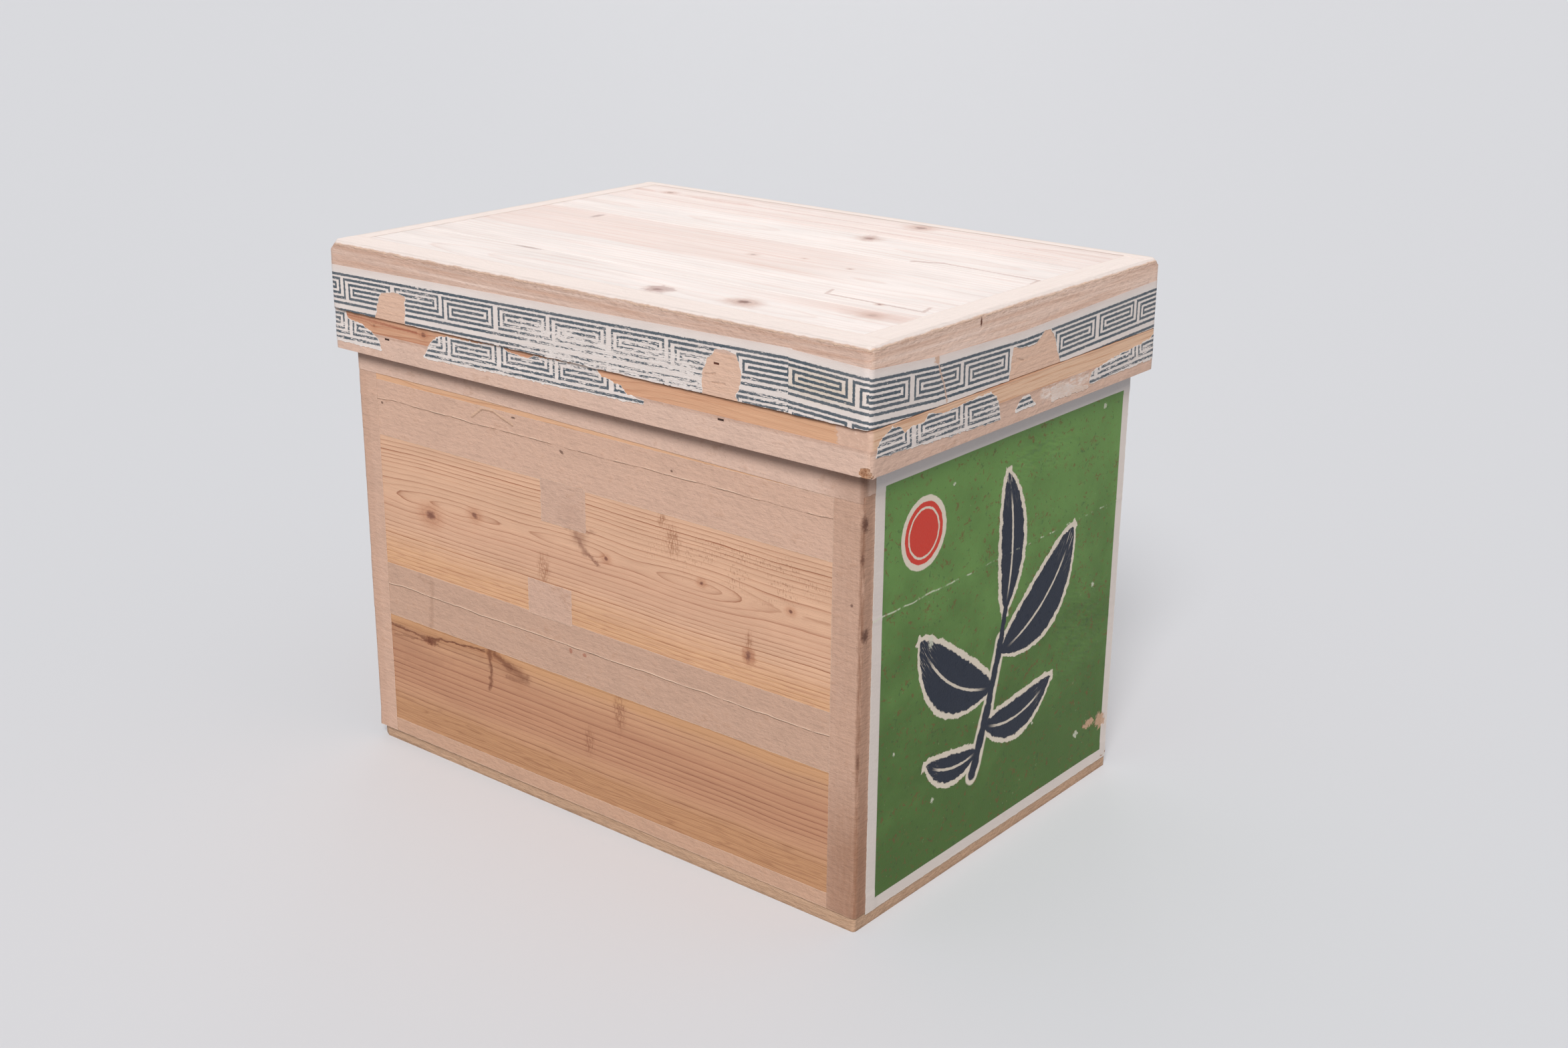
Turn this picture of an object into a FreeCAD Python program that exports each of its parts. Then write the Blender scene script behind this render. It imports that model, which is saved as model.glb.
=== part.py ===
import FreeCAD, Part
import os
from FreeCAD import Vector

os.makedirs("parts", exist_ok=True)

# A nailed cedar tea crate with a lift-off lid. Millimetres. The origin is under
# the middle of the crate: +X runs along its length to the labelled end, the
# front faces -Y, and +Z is up.

# Carcass
crate_length = 574.0
crate_width = 395.0
wall_board = 12.0
bottom_board = 12.0
bottom_joint_y = -20.0
front_lower_board = 152.0
upper_joint_drop = 43.0
end_lower_board = 253.0
crate_corner_round = 3.0
# The front bottom board is nailed on a little askew, and one corner of it is broken
bottom_set_back = 3.5
broken_corner = 7.0

# Collar, the band of battens that carries the lid
collar_base = 387.0
collar_height = 36.0
collar_side_batten = 12.0
collar_end_batten = 14.0
collar_corner_round = 4.0

# Lid
lid_height = 62.0
lid_board = 12.0
skirt_board = 12.0
lid_end_clearance = 0.8
lid_side_clearance = 1.8
rim_clearance = 3.5
front_lid_board = 97.0
middle_lid_board = 164.0
rear_middle_lid_board = 81.0
lid_corner_round = 5.0
lid_edge_round = 3.0
joint_ease = 0.5
seam_ease = 0.8
# How far each top corner of the lid is knocked back along its three edges
knocked_front_left = 11.0
knocked_front_right = 6.0
knocked_back_left = 7.0
knocked_back_right = 9.0

# Tinplate
tin = 0.3
liner_fold = 8.0
lining_turn_down = 10.0

# Nails, all of one size, which stop just short of the inside of the walls
nail_cover = 0.5
nail_shank = 2.0
nail_head = 4.6
nail_head_thickness = 0.8
nail_point = 3.0
first_nail = 45.0
corner_nail_pitch = 62.0
bottom_nail_pitch = 85.0
collar_nail_pitch = 110.0
lid_nail_pitch = 95.0
lid_board_nail_inset = 18.0
skirt_nail_inset = 13.0

# Kraft paper tape, pasted over edges and board joints
tape = 0.5
tape_width = 52.0
corner_leg = 25.0
base_tape_height = 14.0
upper_tape_below_joint = 8.5
middle_tape_below_joint = 5.0
collar_tape_on_wall = 20.0
collar_tape_on_collar = 21.0
lid_lap_front = 30.0
lid_lap_back = 14.0
lid_lap_left = 19.0
lid_lap_right = 28.0
patch_width = 53.0
upper_patch_x = -28.0
upper_patch_drop = 36.0
middle_patch_x = -47.5
middle_patch_rise = 30.0

# Printed label on the right end
label = 0.3
label_front_margin = 14.0
label_back_margin = 2.5
label_base = 10.0
label_below_collar = 4.5

# Fret-patterned sealing paper, slit along the seam
seal = 0.3
slit = 0.3
first_seal_length = 526.0
past_corner = 8.0

# Everything else follows from the sizes above
seam = collar_base + collar_height
top = seam + lid_height
lid_underside = top - lid_board
rim = lid_underside - rim_clearance
collar_length = crate_length + 2 * collar_end_batten
collar_width = crate_width + 2 * collar_side_batten
lid_length = crate_length + 2 * (lid_end_clearance + skirt_board)
lid_width = crate_width + 2 * (lid_side_clearance + skirt_board)
cavity_length = crate_length - 2 * wall_board
cavity_width = crate_width - 2 * wall_board
half_length = crate_length / 2
half_width = crate_width / 2
half_cavity_length = cavity_length / 2
half_cavity_width = cavity_width / 2
half_lid_length = lid_length / 2
half_lid_width = lid_width / 2
nail_length = min(collar_side_batten, collar_end_batten) + wall_board - nail_cover
over_tape = tape + seal
# A distance that passes every side of the crate
beyond = crate_length

# Torn outlines of the sealing paper: distance from the lid's corner, then height
# above the seam. The front is read from its left corner, the right end from its
# front corner. Paper that turns a corner is drawn a little past it.
front_end = lid_length + past_corner
right_end = lid_width + past_corner
front_seal_top = [(-past_corner, 41), (first_seal_length, 50.5)]
corner_seal_top = [(first_seal_length, 50), (front_end, 46.5)]
end_seal_top = [(-past_corner, 46.5), (85, 40), (205, 37.5), (right_end, 43.5)]
front_seal_holes = [
    [(58, 0), (65, 19), (70, 24), (85, 26.5), (100, 25), (99, 12), (98, 0)],
    [(442, 0), (441, 17), (447, 29), (455, 37), (463, 39), (475, 36), (481, 22), (479, 12),
     (475, 5), (479, 0)],
]
end_seal_holes = [
    [(184, 0), (188, 20), (190, 27), (200, 24), (223, 23), (237, 32), (245, 31), (252, 23),
     (257, 11), (263, 0)],
]
front_collar_seals = [
    [(-past_corner, 0), (15, 0), (19, -7), (35, -9), (50, -14), (61, -21), (63, -29.5),
     (-past_corner, -29.5)],
    [(117, -27), (123, -20), (126, -13), (135, -6), (147, -3), (190, -2), (217, 0), (225, -4), (248, -5),
     (255, -2), (325, 0), (333, -6), (352, -9), (360, -15), (378, -18), (378, -21)],
]
end_collar_seals = [
    [(7, -21.5), (11, -11), (17, -7), (28, -2), (37, -4), (43, -10), (55, -7), (67, -8), (75, -2),
     (95, -6), (130, -4), (158, -3), (165, -7), (170, -14), (173, -29), (90, -26)],
    [(193, -28), (200, -20), (207, -16), (215, -17), (226, -28)],
    [(247, -19), (257, -17), (270, -19), (285, -24), (307, -28), (310, -31), (250, -31)],
    [(308, -28), (313, -18), (345, -13), (373, -11), (410, -8), (418, -4), (right_end, -7), (right_end, -27)],
]


def box(x0, x1, y0, y1, z0, z1):
    """A box between two values on each axis."""
    return Part.makeBox(x1 - x0, y1 - y0, z1 - z0, Vector(x0, y0, z0))


def edges_along_z(solid):
    return [e for e in solid.Edges if abs(e.BoundBox.ZLength - solid.BoundBox.ZLength) < 0.001]


def edges_at_height(solid, height):
    return [e for e in solid.Edges if abs(e.BoundBox.ZMin - height) < 0.001 and e.BoundBox.ZLength < 0.001]


def block(length, width, low, high, corner, top_edge=0.0):
    """A block centred on the origin with worn vertical corners, and a worn top edge if asked."""
    solid = box(-length / 2, length / 2, -width / 2, width / 2, low, high)
    solid = solid.makeFillet(corner, edges_along_z(solid))
    if top_edge:
        solid = solid.makeFillet(top_edge, edges_at_height(solid, high))
    return solid


def knocked(solid, thickness=0.0):
    """The lid's solid, or a skin of that thickness round it, with its top corners knocked back."""
    for x, y, size in ((-1, -1, knocked_front_left), (1, -1, knocked_front_right),
                       (-1, 1, knocked_back_left), (1, 1, knocked_back_right)):
        outward = Vector(x, y, 1).normalize()
        place = Vector(x * half_lid_length, y * half_lid_width, top - size) + outward * thickness
        turn = FreeCAD.Rotation(Vector(0, 0, 1), outward)
        beyond_corner = Part.makeBox(beyond, beyond, beyond, Vector(-beyond / 2, -beyond / 2, 0))
        beyond_corner.Placement = FreeCAD.Placement(place, turn)
        solid = solid.cut(beyond_corner)
    return solid


def spaced(start, end, pitch):
    """Evenly spaced places from start to end, about one pitch apart."""
    gaps = max(1, round((end - start) / pitch))
    return [start + (end - start) * i / gaps for i in range(gaps + 1)]


def half_turn(shape):
    """The same piece on the opposite side of the crate."""
    turned = shape.copy()
    turned.rotate(Vector(0, 0, 0), Vector(0, 0, 1), 180)
    return turned


def make_nail():
    """A flat round head, a round shank and a point."""
    head = Part.makeCylinder(nail_head / 2, nail_head_thickness)
    shank = Part.makeCylinder(nail_shank / 2, nail_length - nail_point)
    point = Part.makeCone(nail_shank / 2, nail_shank / 10, nail_point, Vector(0, 0, nail_length - nail_point))
    return head.fuse([shank, point]).removeSplitter()


def driven(place, direction):
    """A nail with its head flush at a place, pointing along a direction into the wood."""
    nail = plain_nail.copy()
    turn = FreeCAD.Rotation(Vector(0, 0, 1), Vector(*direction))
    nail.Placement = FreeCAD.Placement(Vector(*place), turn)
    return nail


def drilled(wood, nails):
    """The wood with a hole for each nail that enters it."""
    entering = [n for n in nails if n.BoundBox.intersect(wood.BoundBox)]
    return wood.cut(entering) if entering else wood


plain_nail = make_nail()
# Nails enter the middle of the board behind, or just clear of a worn corner or edge
corner_nail_line = max(wall_board / 2, crate_corner_round + nail_head / 2)
lid_edge_nail_line = max(skirt_board / 2, lid_edge_round + nail_head / 2)
skirt_nail_line = max(skirt_board / 2, lid_corner_round + nail_head / 2)

corner_nail_heights = spaced(bottom_board + first_nail, rim - first_nail / 2, corner_nail_pitch)
corner_nails = [
    driven((side * half_length, depth * (half_width - corner_nail_line), height), (-side, 0, 0))
    for side in (-1, 1)
    for depth in (-1, 1)
    for height in corner_nail_heights
]
bottom_nails = [
    driven((x, depth * (half_width - wall_board / 2), 0), (0, 0, 1))
    for depth in (-1, 1)
    for x in spaced(first_nail - half_length, half_length - first_nail, bottom_nail_pitch)
] + [
    driven((side * (half_length - wall_board / 2), y, 0), (0, 0, 1))
    for side in (-1, 1)
    for y in spaced(first_nail - half_width, half_width - first_nail, bottom_nail_pitch)
]
collar_middle = collar_base + collar_height / 2
collar_nails = [
    driven((x, depth * collar_width / 2, collar_middle), (0, -depth, 0))
    for depth in (-1, 1)
    for x in spaced(first_nail - half_length, half_length - first_nail, collar_nail_pitch)
] + [
    driven((side * collar_length / 2, y, collar_middle), (-side, 0, 0))
    for side in (-1, 1)
    for y in spaced(first_nail - half_width, half_width - first_nail, collar_nail_pitch)
]
crate_nails = corner_nails + bottom_nails + collar_nails

lid_joint_1 = front_lid_board - half_lid_width
lid_joint_2 = lid_joint_1 + middle_lid_board
lid_joint_3 = lid_joint_2 + rear_middle_lid_board
lid_board_edges = [-half_lid_width, lid_joint_1, lid_joint_2, lid_joint_3, half_lid_width]
lid_board_names = ["front", "middle", "rear_middle", "back"]

lid_board_end_nails = [
    driven((side * (half_lid_length - lid_edge_nail_line), y, top), (0, 0, -1))
    for side in (-1, 1)
    for near, far in zip(lid_board_edges[:-1], lid_board_edges[1:])
    for y in (near + lid_board_nail_inset, far - lid_board_nail_inset)
]
lid_side_nails = [
    driven((x, depth * (half_lid_width - lid_edge_nail_line), top), (0, 0, -1))
    for depth in (-1, 1)
    for x in spaced(first_nail - half_lid_length, half_lid_length - first_nail, lid_nail_pitch)
]
skirt_nails = [
    driven((side * half_lid_length, depth * (half_lid_width - skirt_nail_line), height), (-side, 0, 0))
    for side in (-1, 1)
    for depth in (-1, 1)
    for height in (seam + skirt_nail_inset, lid_underside - skirt_nail_inset)
]
lid_nails = lid_board_end_nails + lid_side_nails + skirt_nails

nodes = {}

# Carcass: the end walls cover the ends of the front and back walls, and the
# bottom boards cover the lower edges of all four
crate_core = block(crate_length, crate_width, 0, rim, crate_corner_round)
upper_joint = collar_base - upper_joint_drop
lower_joint = bottom_board + front_lower_board
end_joint = bottom_board + end_lower_board
side_wall_levels = [bottom_board, lower_joint, upper_joint, rim]
end_wall_levels = [bottom_board, end_joint, rim]


def carcass_board(region):
    return drilled(crate_core.common(region), crate_nails)


bottom_front = [
    Vector(-half_length, broken_corner - half_width, 0),
    Vector(broken_corner - half_length, bottom_set_back - half_width, 0),
    Vector(half_length, -half_width, 0),
    Vector(half_length, bottom_joint_y, 0),
    Vector(-half_length, bottom_joint_y, 0),
]
bottom_front_face = Part.Face(Part.makePolygon(bottom_front + bottom_front[:1]))
nodes["bottom_board_front"] = carcass_board(bottom_front_face.extrude(Vector(0, 0, bottom_board)))
nodes["bottom_board_back"] = carcass_board(
    box(-half_length, half_length, bottom_joint_y, half_width, 0, bottom_board))

for wall, y0 in (("front", -half_width), ("back", half_width - wall_board)):
    for name, low, high in zip(("lower", "middle", "upper"), side_wall_levels[:-1], side_wall_levels[1:]):
        region = box(-half_cavity_length, half_cavity_length, y0, y0 + wall_board, low, high)
        nodes[f"{wall}_wall_{name}_board"] = carcass_board(region)

for wall, x0 in (("left", -half_length), ("right", half_length - wall_board)):
    for name, low, high in zip(("lower", "upper"), end_wall_levels[:-1], end_wall_levels[1:]):
        region = box(x0, x0 + wall_board, -half_width, half_width, low, high)
        nodes[f"{wall}_end_{name}_board"] = carcass_board(region)

# Collar: the end battens lie between the long ones
collar_core = block(collar_length, collar_width, collar_base, seam, collar_corner_round)
collar_eased = collar_core.makeChamfer(seam_ease, edges_at_height(collar_core, seam))
collar_regions = {
    "front": box(-beyond, beyond, -beyond, -half_width, collar_base, seam),
    "back": box(-beyond, beyond, half_width, beyond, collar_base, seam),
    "left": box(-beyond, -half_length, -half_width, half_width, collar_base, seam),
    "right": box(half_length, beyond, -half_width, half_width, collar_base, seam),
}
for side, region in collar_regions.items():
    nodes[f"collar_{side}"] = drilled(collar_eased.common(region), collar_nails)

# Tin liner: a soldered box that lines the walls and floor and folds over the rim
lined = box(-half_cavity_length, half_cavity_length, -half_cavity_width, half_cavity_width,
            bottom_board, rim + tin)
fold = box(-half_cavity_length - liner_fold, half_cavity_length + liner_fold,
           -half_cavity_width - liner_fold, half_cavity_width + liner_fold, rim, rim + tin)
hollow = box(tin - half_cavity_length, half_cavity_length - tin, tin - half_cavity_width,
             half_cavity_width - tin, bottom_board + tin, beyond)
nodes["tin_liner"] = lined.fuse(fold).cut(hollow).removeSplitter()
nodes["crate_nails"] = Part.makeCompound(crate_nails)

# Lid: boards laid lengthwise on a skirt, whose end boards cover the ends of the
# long ones as in the carcass
lid_core = knocked(block(lid_length, lid_width, seam, top, lid_corner_round, lid_edge_round))
inside_x = half_lid_length - skirt_board
inside_y = half_lid_width - skirt_board
for name, near, far in zip(lid_board_names, lid_board_edges[:-1], lid_board_edges[1:]):
    board = box(-half_lid_length, half_lid_length, near, far, lid_underside, top)
    joints = [e for e in edges_at_height(board, top)
              if e.BoundBox.YLength < 0.001 and abs(e.BoundBox.YMin) < half_lid_width - 0.001]
    board = board.makeChamfer(joint_ease, joints)
    nodes[f"lid_board_{name}"] = drilled(lid_core.common(board), lid_nails)

skirt_core = lid_core.common(box(-beyond, beyond, -beyond, beyond, seam, lid_underside))
skirt_core = skirt_core.makeChamfer(seam_ease, edges_at_height(skirt_core, seam))
skirt_regions = {
    "front": box(-inside_x, inside_x, -beyond, -inside_y, seam, lid_underside),
    "back": box(-inside_x, inside_x, inside_y, beyond, seam, lid_underside),
    "left": box(-beyond, -inside_x, -beyond, beyond, seam, lid_underside),
    "right": box(inside_x, beyond, -beyond, beyond, seam, lid_underside),
}
for side, region in skirt_regions.items():
    nodes[f"lid_skirt_{side}"] = drilled(skirt_core.common(region), lid_nails)

lining_base = lid_underside - lining_turn_down
lining_outside = box(-inside_x, inside_x, -inside_y, inside_y, lining_base, lid_underside)
lining_inside = box(tin - inside_x, inside_x - tin, tin - inside_y, inside_y - tin, 0, lid_underside - tin)
nodes["lid_lining"] = lining_outside.cut(lining_inside)
nodes["lid_nails"] = Part.makeCompound(lid_nails)


# Paper: each sheet is cut from a thin skin over the wood, less the sheets that
# were pasted before it
def crate_skin(thickness):
    """A skin over the walls and the outside and underside of the collar."""
    walls = block(crate_length + 2 * thickness, crate_width + 2 * thickness, 0, rim,
                  crate_corner_round + thickness)
    band = block(collar_length + 2 * thickness, collar_width + 2 * thickness, collar_base - thickness, seam,
                 collar_corner_round + thickness)
    return walls.fuse(band).cut([crate_core, collar_core])


def lid_skin(thickness):
    """A skin over the top and sides of the lid."""
    outside = block(lid_length + 2 * thickness, lid_width + 2 * thickness, seam, top + thickness,
                    lid_corner_round + thickness, lid_edge_round + thickness)
    return knocked(outside, thickness).cut(lid_core)


def pasted(skin, region, under=()):
    sheet = skin.common(region)
    if under:
        sheet = sheet.cut(list(under))
    return sheet.removeSplitter()


crate_tape_skin = crate_skin(tape)
lid_tape_skin = lid_skin(tape)
inner_x = half_length - corner_leg
inner_y = half_width - corner_leg

tapes = {}
for side, x0, x1 in (("left", -beyond, -inner_x), ("right", inner_x, beyond)):
    for depth, y0, y1 in (("front", -beyond, -inner_y), ("back", inner_y, beyond)):
        region = box(x0, x1, y0, y1, bottom_board, collar_base - tape)
        tapes[f"corner_tape_{depth}_{side}"] = pasted(crate_tape_skin, region)

base_tape_top = bottom_board + base_tape_height
tapes["base_tape_front"] = pasted(
    crate_tape_skin, box(-inner_x, inner_x, -beyond, 0, bottom_board, base_tape_top))
tapes["base_tape_back"] = half_turn(tapes["base_tape_front"])
tapes["base_tape_right"] = pasted(
    crate_tape_skin, box(0, beyond, -inner_y, inner_y, bottom_board, base_tape_top))
tapes["base_tape_left"] = half_turn(tapes["base_tape_right"])


def joint_tape_region(middle):
    return box(-inner_x, inner_x, -beyond, 0, middle - tape_width / 2, middle + tape_width / 2)


upper_tape_middle = upper_joint - upper_tape_below_joint
middle_tape_middle = lower_joint - middle_tape_below_joint
tapes["joint_tape_front_upper"] = pasted(crate_tape_skin, joint_tape_region(upper_tape_middle))
tapes["joint_tape_front_middle"] = pasted(crate_tape_skin, joint_tape_region(middle_tape_middle))
tapes["joint_tape_back_upper"] = half_turn(tapes["joint_tape_front_upper"])
tapes["joint_tape_back_middle"] = half_turn(tapes["joint_tape_front_middle"])
tapes["joint_tape_left"] = pasted(crate_tape_skin, box(
    -beyond, 0, -inner_y, inner_y, end_joint - tape_width / 2, end_joint + tape_width / 2))

upper_patch_top = upper_tape_middle - tape_width / 2
tapes["paper_patch_upper"] = pasted(crate_tape_skin, box(
    upper_patch_x - patch_width / 2, upper_patch_x + patch_width / 2, -beyond, 0,
    upper_patch_top - upper_patch_drop, upper_patch_top))
middle_patch_base = middle_tape_middle + tape_width / 2
tapes["paper_patch_middle"] = pasted(crate_tape_skin, box(
    middle_patch_x - patch_width / 2, middle_patch_x + patch_width / 2, -beyond, 0,
    middle_patch_base, middle_patch_base + middle_patch_rise))

collar_tape_low = collar_base - collar_tape_on_wall
collar_tape_high = collar_base + collar_tape_on_collar
tapes["collar_tape_front"] = pasted(
    crate_tape_skin, box(-beyond, beyond, -beyond, -half_width, collar_tape_low, collar_tape_high),
    (tapes["corner_tape_front_left"], tapes["corner_tape_front_right"]))
tapes["collar_tape_right"] = pasted(
    crate_tape_skin, box(0, beyond, -half_width, half_width, collar_tape_low, collar_tape_high),
    (tapes["corner_tape_front_right"], tapes["corner_tape_back_right"]))
tapes["collar_tape_back"] = half_turn(tapes["collar_tape_front"])
tapes["collar_tape_left"] = half_turn(tapes["collar_tape_right"])

front_lap_edge = lid_lap_front - half_lid_width
back_lap_edge = half_lid_width - lid_lap_back
lid_tape_regions = {
    "front": box(-beyond, beyond, -beyond, front_lap_edge, seam + slit, beyond),
    "back": box(-beyond, beyond, back_lap_edge, beyond, seam + slit, beyond),
    "left": box(-beyond, lid_lap_left - half_lid_length, front_lap_edge, back_lap_edge, seam + slit, beyond),
    "right": box(half_lid_length - lid_lap_right, beyond, front_lap_edge, back_lap_edge, seam + slit, beyond),
}
for side, region in lid_tape_regions.items():
    tapes[f"lid_tape_{side}"] = pasted(lid_tape_skin, region)
nodes.update(tapes)

# Label over the right end, pasted after the tapes
nodes["end_label"] = pasted(
    crate_skin(tape + label),
    box(0, beyond, label_front_margin - half_width, half_width - label_back_margin,
        label_base, collar_base - label_below_collar),
    (tapes["corner_tape_front_right"], tapes["corner_tape_back_right"],
     tapes["base_tape_right"], tapes["collar_tape_right"]))


# Sealing paper: outlines drawn on the front or the right end of the lid, then
# carried through that side of the skin
def on_front(outline):
    points = [Vector(along - half_lid_length, -beyond, seam + height) for along, height in outline]
    face = Part.Face(Part.makePolygon(points + points[:1]))
    return face.extrude(Vector(0, beyond - half_lid_width + lid_corner_round, 0))


def on_right_end(outline):
    points = [Vector(beyond, along - half_lid_width, seam + height) for along, height in outline]
    face = Part.Face(Part.makePolygon(points + points[:1]))
    return face.extrude(Vector(half_lid_length - lid_corner_round - beyond, 0, 0))


def down_to_slit(upper_edge):
    """The outline between the seal's upper edge and the slit along the seam."""
    return upper_edge + [(upper_edge[-1][0], slit), (upper_edge[0][0], slit)]


lid_seal_skin = lid_skin(over_tape)
first_seal = pasted(lid_seal_skin, on_front(down_to_slit(front_seal_top)),
                    [tapes["lid_tape_front"]] + [on_front(hole) for hole in front_seal_holes])
second_seal_region = on_front(down_to_slit(corner_seal_top)).fuse(on_right_end(down_to_slit(end_seal_top)))
second_seal = pasted(lid_seal_skin, second_seal_region,
                     [tapes["lid_tape_front"], tapes["lid_tape_right"], tapes["lid_tape_back"]]
                     + [on_right_end(hole) for hole in end_seal_holes])
nodes["lid_seal_front"] = first_seal
nodes["lid_seal_right"] = second_seal
nodes["lid_seal_back"] = half_turn(first_seal).cut(second_seal)
nodes["lid_seal_left"] = half_turn(second_seal).cut(first_seal)

collar_face = box(-beyond, beyond, -beyond, beyond, collar_base, seam - slit)
collar_seal_skin = crate_skin(over_tape).common(collar_face)
collar_tapes = [tapes[f"collar_tape_{side}"] for side in ("front", "right", "back", "left")]


def remains(regions):
    """One piece of paper for each region, kept together as a group."""
    pieces = [pasted(collar_seal_skin, region, collar_tapes) for region in regions]
    return Part.makeCompound([solid for piece in pieces for solid in piece.Solids])


front_remains = remains([on_front(torn) for torn in front_collar_seals])
end_remains = remains([on_right_end(torn) for torn in end_collar_seals])
nodes["collar_seal_front"] = front_remains
nodes["collar_seal_right"] = end_remains
nodes["collar_seal_back"] = half_turn(front_remains).cut(end_remains)
nodes["collar_seal_left"] = half_turn(end_remains).cut(front_remains)

for name, shape in nodes.items():
    shape.exportStep(f"parts/{name}.step")
print(len(nodes), "nodes; lid top at", top, "rim at", rim)
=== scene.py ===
import math

import bpy
import numpy as np
from mathutils import Matrix, Vector


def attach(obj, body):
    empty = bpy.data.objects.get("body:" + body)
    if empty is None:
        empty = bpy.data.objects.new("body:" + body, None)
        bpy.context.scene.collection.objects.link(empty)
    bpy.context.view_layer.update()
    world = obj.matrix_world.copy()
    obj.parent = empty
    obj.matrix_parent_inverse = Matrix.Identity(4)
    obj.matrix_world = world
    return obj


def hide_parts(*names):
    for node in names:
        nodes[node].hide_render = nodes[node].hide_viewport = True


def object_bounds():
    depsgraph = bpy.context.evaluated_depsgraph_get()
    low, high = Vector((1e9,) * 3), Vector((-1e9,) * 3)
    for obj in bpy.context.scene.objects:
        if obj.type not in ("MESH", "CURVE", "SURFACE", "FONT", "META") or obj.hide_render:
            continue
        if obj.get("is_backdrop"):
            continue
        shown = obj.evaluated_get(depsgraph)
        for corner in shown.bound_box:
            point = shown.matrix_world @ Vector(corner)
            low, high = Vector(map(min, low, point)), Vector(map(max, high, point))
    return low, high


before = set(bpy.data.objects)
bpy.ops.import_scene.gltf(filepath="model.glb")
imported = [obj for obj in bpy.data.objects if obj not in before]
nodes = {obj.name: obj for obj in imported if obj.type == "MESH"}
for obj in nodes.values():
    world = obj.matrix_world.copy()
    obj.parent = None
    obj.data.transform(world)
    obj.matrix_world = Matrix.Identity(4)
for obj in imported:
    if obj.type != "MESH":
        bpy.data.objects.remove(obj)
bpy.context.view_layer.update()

# The room: a plain pale floor that runs out of sight, one wide soft lamp above the
# front, a weak low one behind, a pale surround, and the camera where the photograph was taken.
camera_place = Vector((1.0990, -1.3062, 0.8268))
camera_turn, camera_tilt, camera_roll = 0.675047, 0.336840, 0.009550
focal_pixels, picture_width = 2934.96, 2346

bpy.ops.object.camera_add()
camera = bpy.context.object
camera.matrix_world = (
    Matrix.Translation(camera_place) @ Matrix.Rotation(camera_turn, 4, "Z")
    @ Matrix.Rotation(math.pi / 2 - camera_tilt, 4, "X") @ Matrix.Rotation(camera_roll, 4, "Z"))
camera.data.sensor_width = 36
camera.data.lens = camera.data.sensor_width * focal_pixels / picture_width
bpy.context.scene.camera = camera

main_lamp = ((0.41, -0.64, 0.66), 2.94, 24)
back_lamp = ((-0.6, 0.78, 0.05), 0.4, 16)
for towards, energy, spread in (main_lamp, back_lamp):
    bpy.ops.object.light_add(type="SUN")
    lamp = bpy.context.object
    lamp.data.angle = math.radians(spread)
    lamp.data.energy = energy
    lamp.rotation_euler = Vector(towards).to_track_quat("Z", "Y").to_euler()


def add_node(tree, kind, inputs, **settings):
    """One node, with its settings and the values or links of its inputs. Gives back its outputs."""
    made = tree.nodes.new(kind)
    for name, value in settings.items():
        setattr(made, name, value)
    for key, value in inputs.items():
        if isinstance(value, bpy.types.NodeSocket):
            tree.links.new(value, made.inputs[key])
        else:
            made.inputs[key].default_value = value
    return made.outputs


def seen_share(tree):
    """1 on the rays by which the eye, metal or glass see the room, and 0 on those that light the crate."""
    rays = add_node(tree, "ShaderNodeLightPath", {})
    share = rays["Is Camera Ray"]
    for other in ("Is Glossy Ray", "Is Transmission Ray"):
        share = add_node(tree, "ShaderNodeMath", {0: share, 1: rays[other]}, operation="MAXIMUM")[0]
    return share


low_light, high_light, seen_light = 0.26, 0.5, 0.7
surround = bpy.data.worlds.new("surround")
surround.use_nodes = True
sky = surround.node_tree
height_of = add_node(sky, "ShaderNodeSeparateXYZ",
                     {0: add_node(sky, "ShaderNodeTexCoord", {})["Generated"]})["Z"]
lighting = add_node(sky, "ShaderNodeMapRange",
                    {"Value": height_of, "To Min": low_light, "To Max": high_light})[0]
strength = add_node(sky, "ShaderNodeMix", {0: seen_share(sky), 2: lighting, 3: seen_light})[0]
sky.links.new(strength, sky.nodes["Background"].inputs["Strength"])
sky.nodes["Background"].inputs["Color"].default_value = (0.97, 0.98, 1.0, 1)
bpy.context.scene.world = surround
bpy.context.scene.view_settings.view_transform = "Standard"

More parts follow.
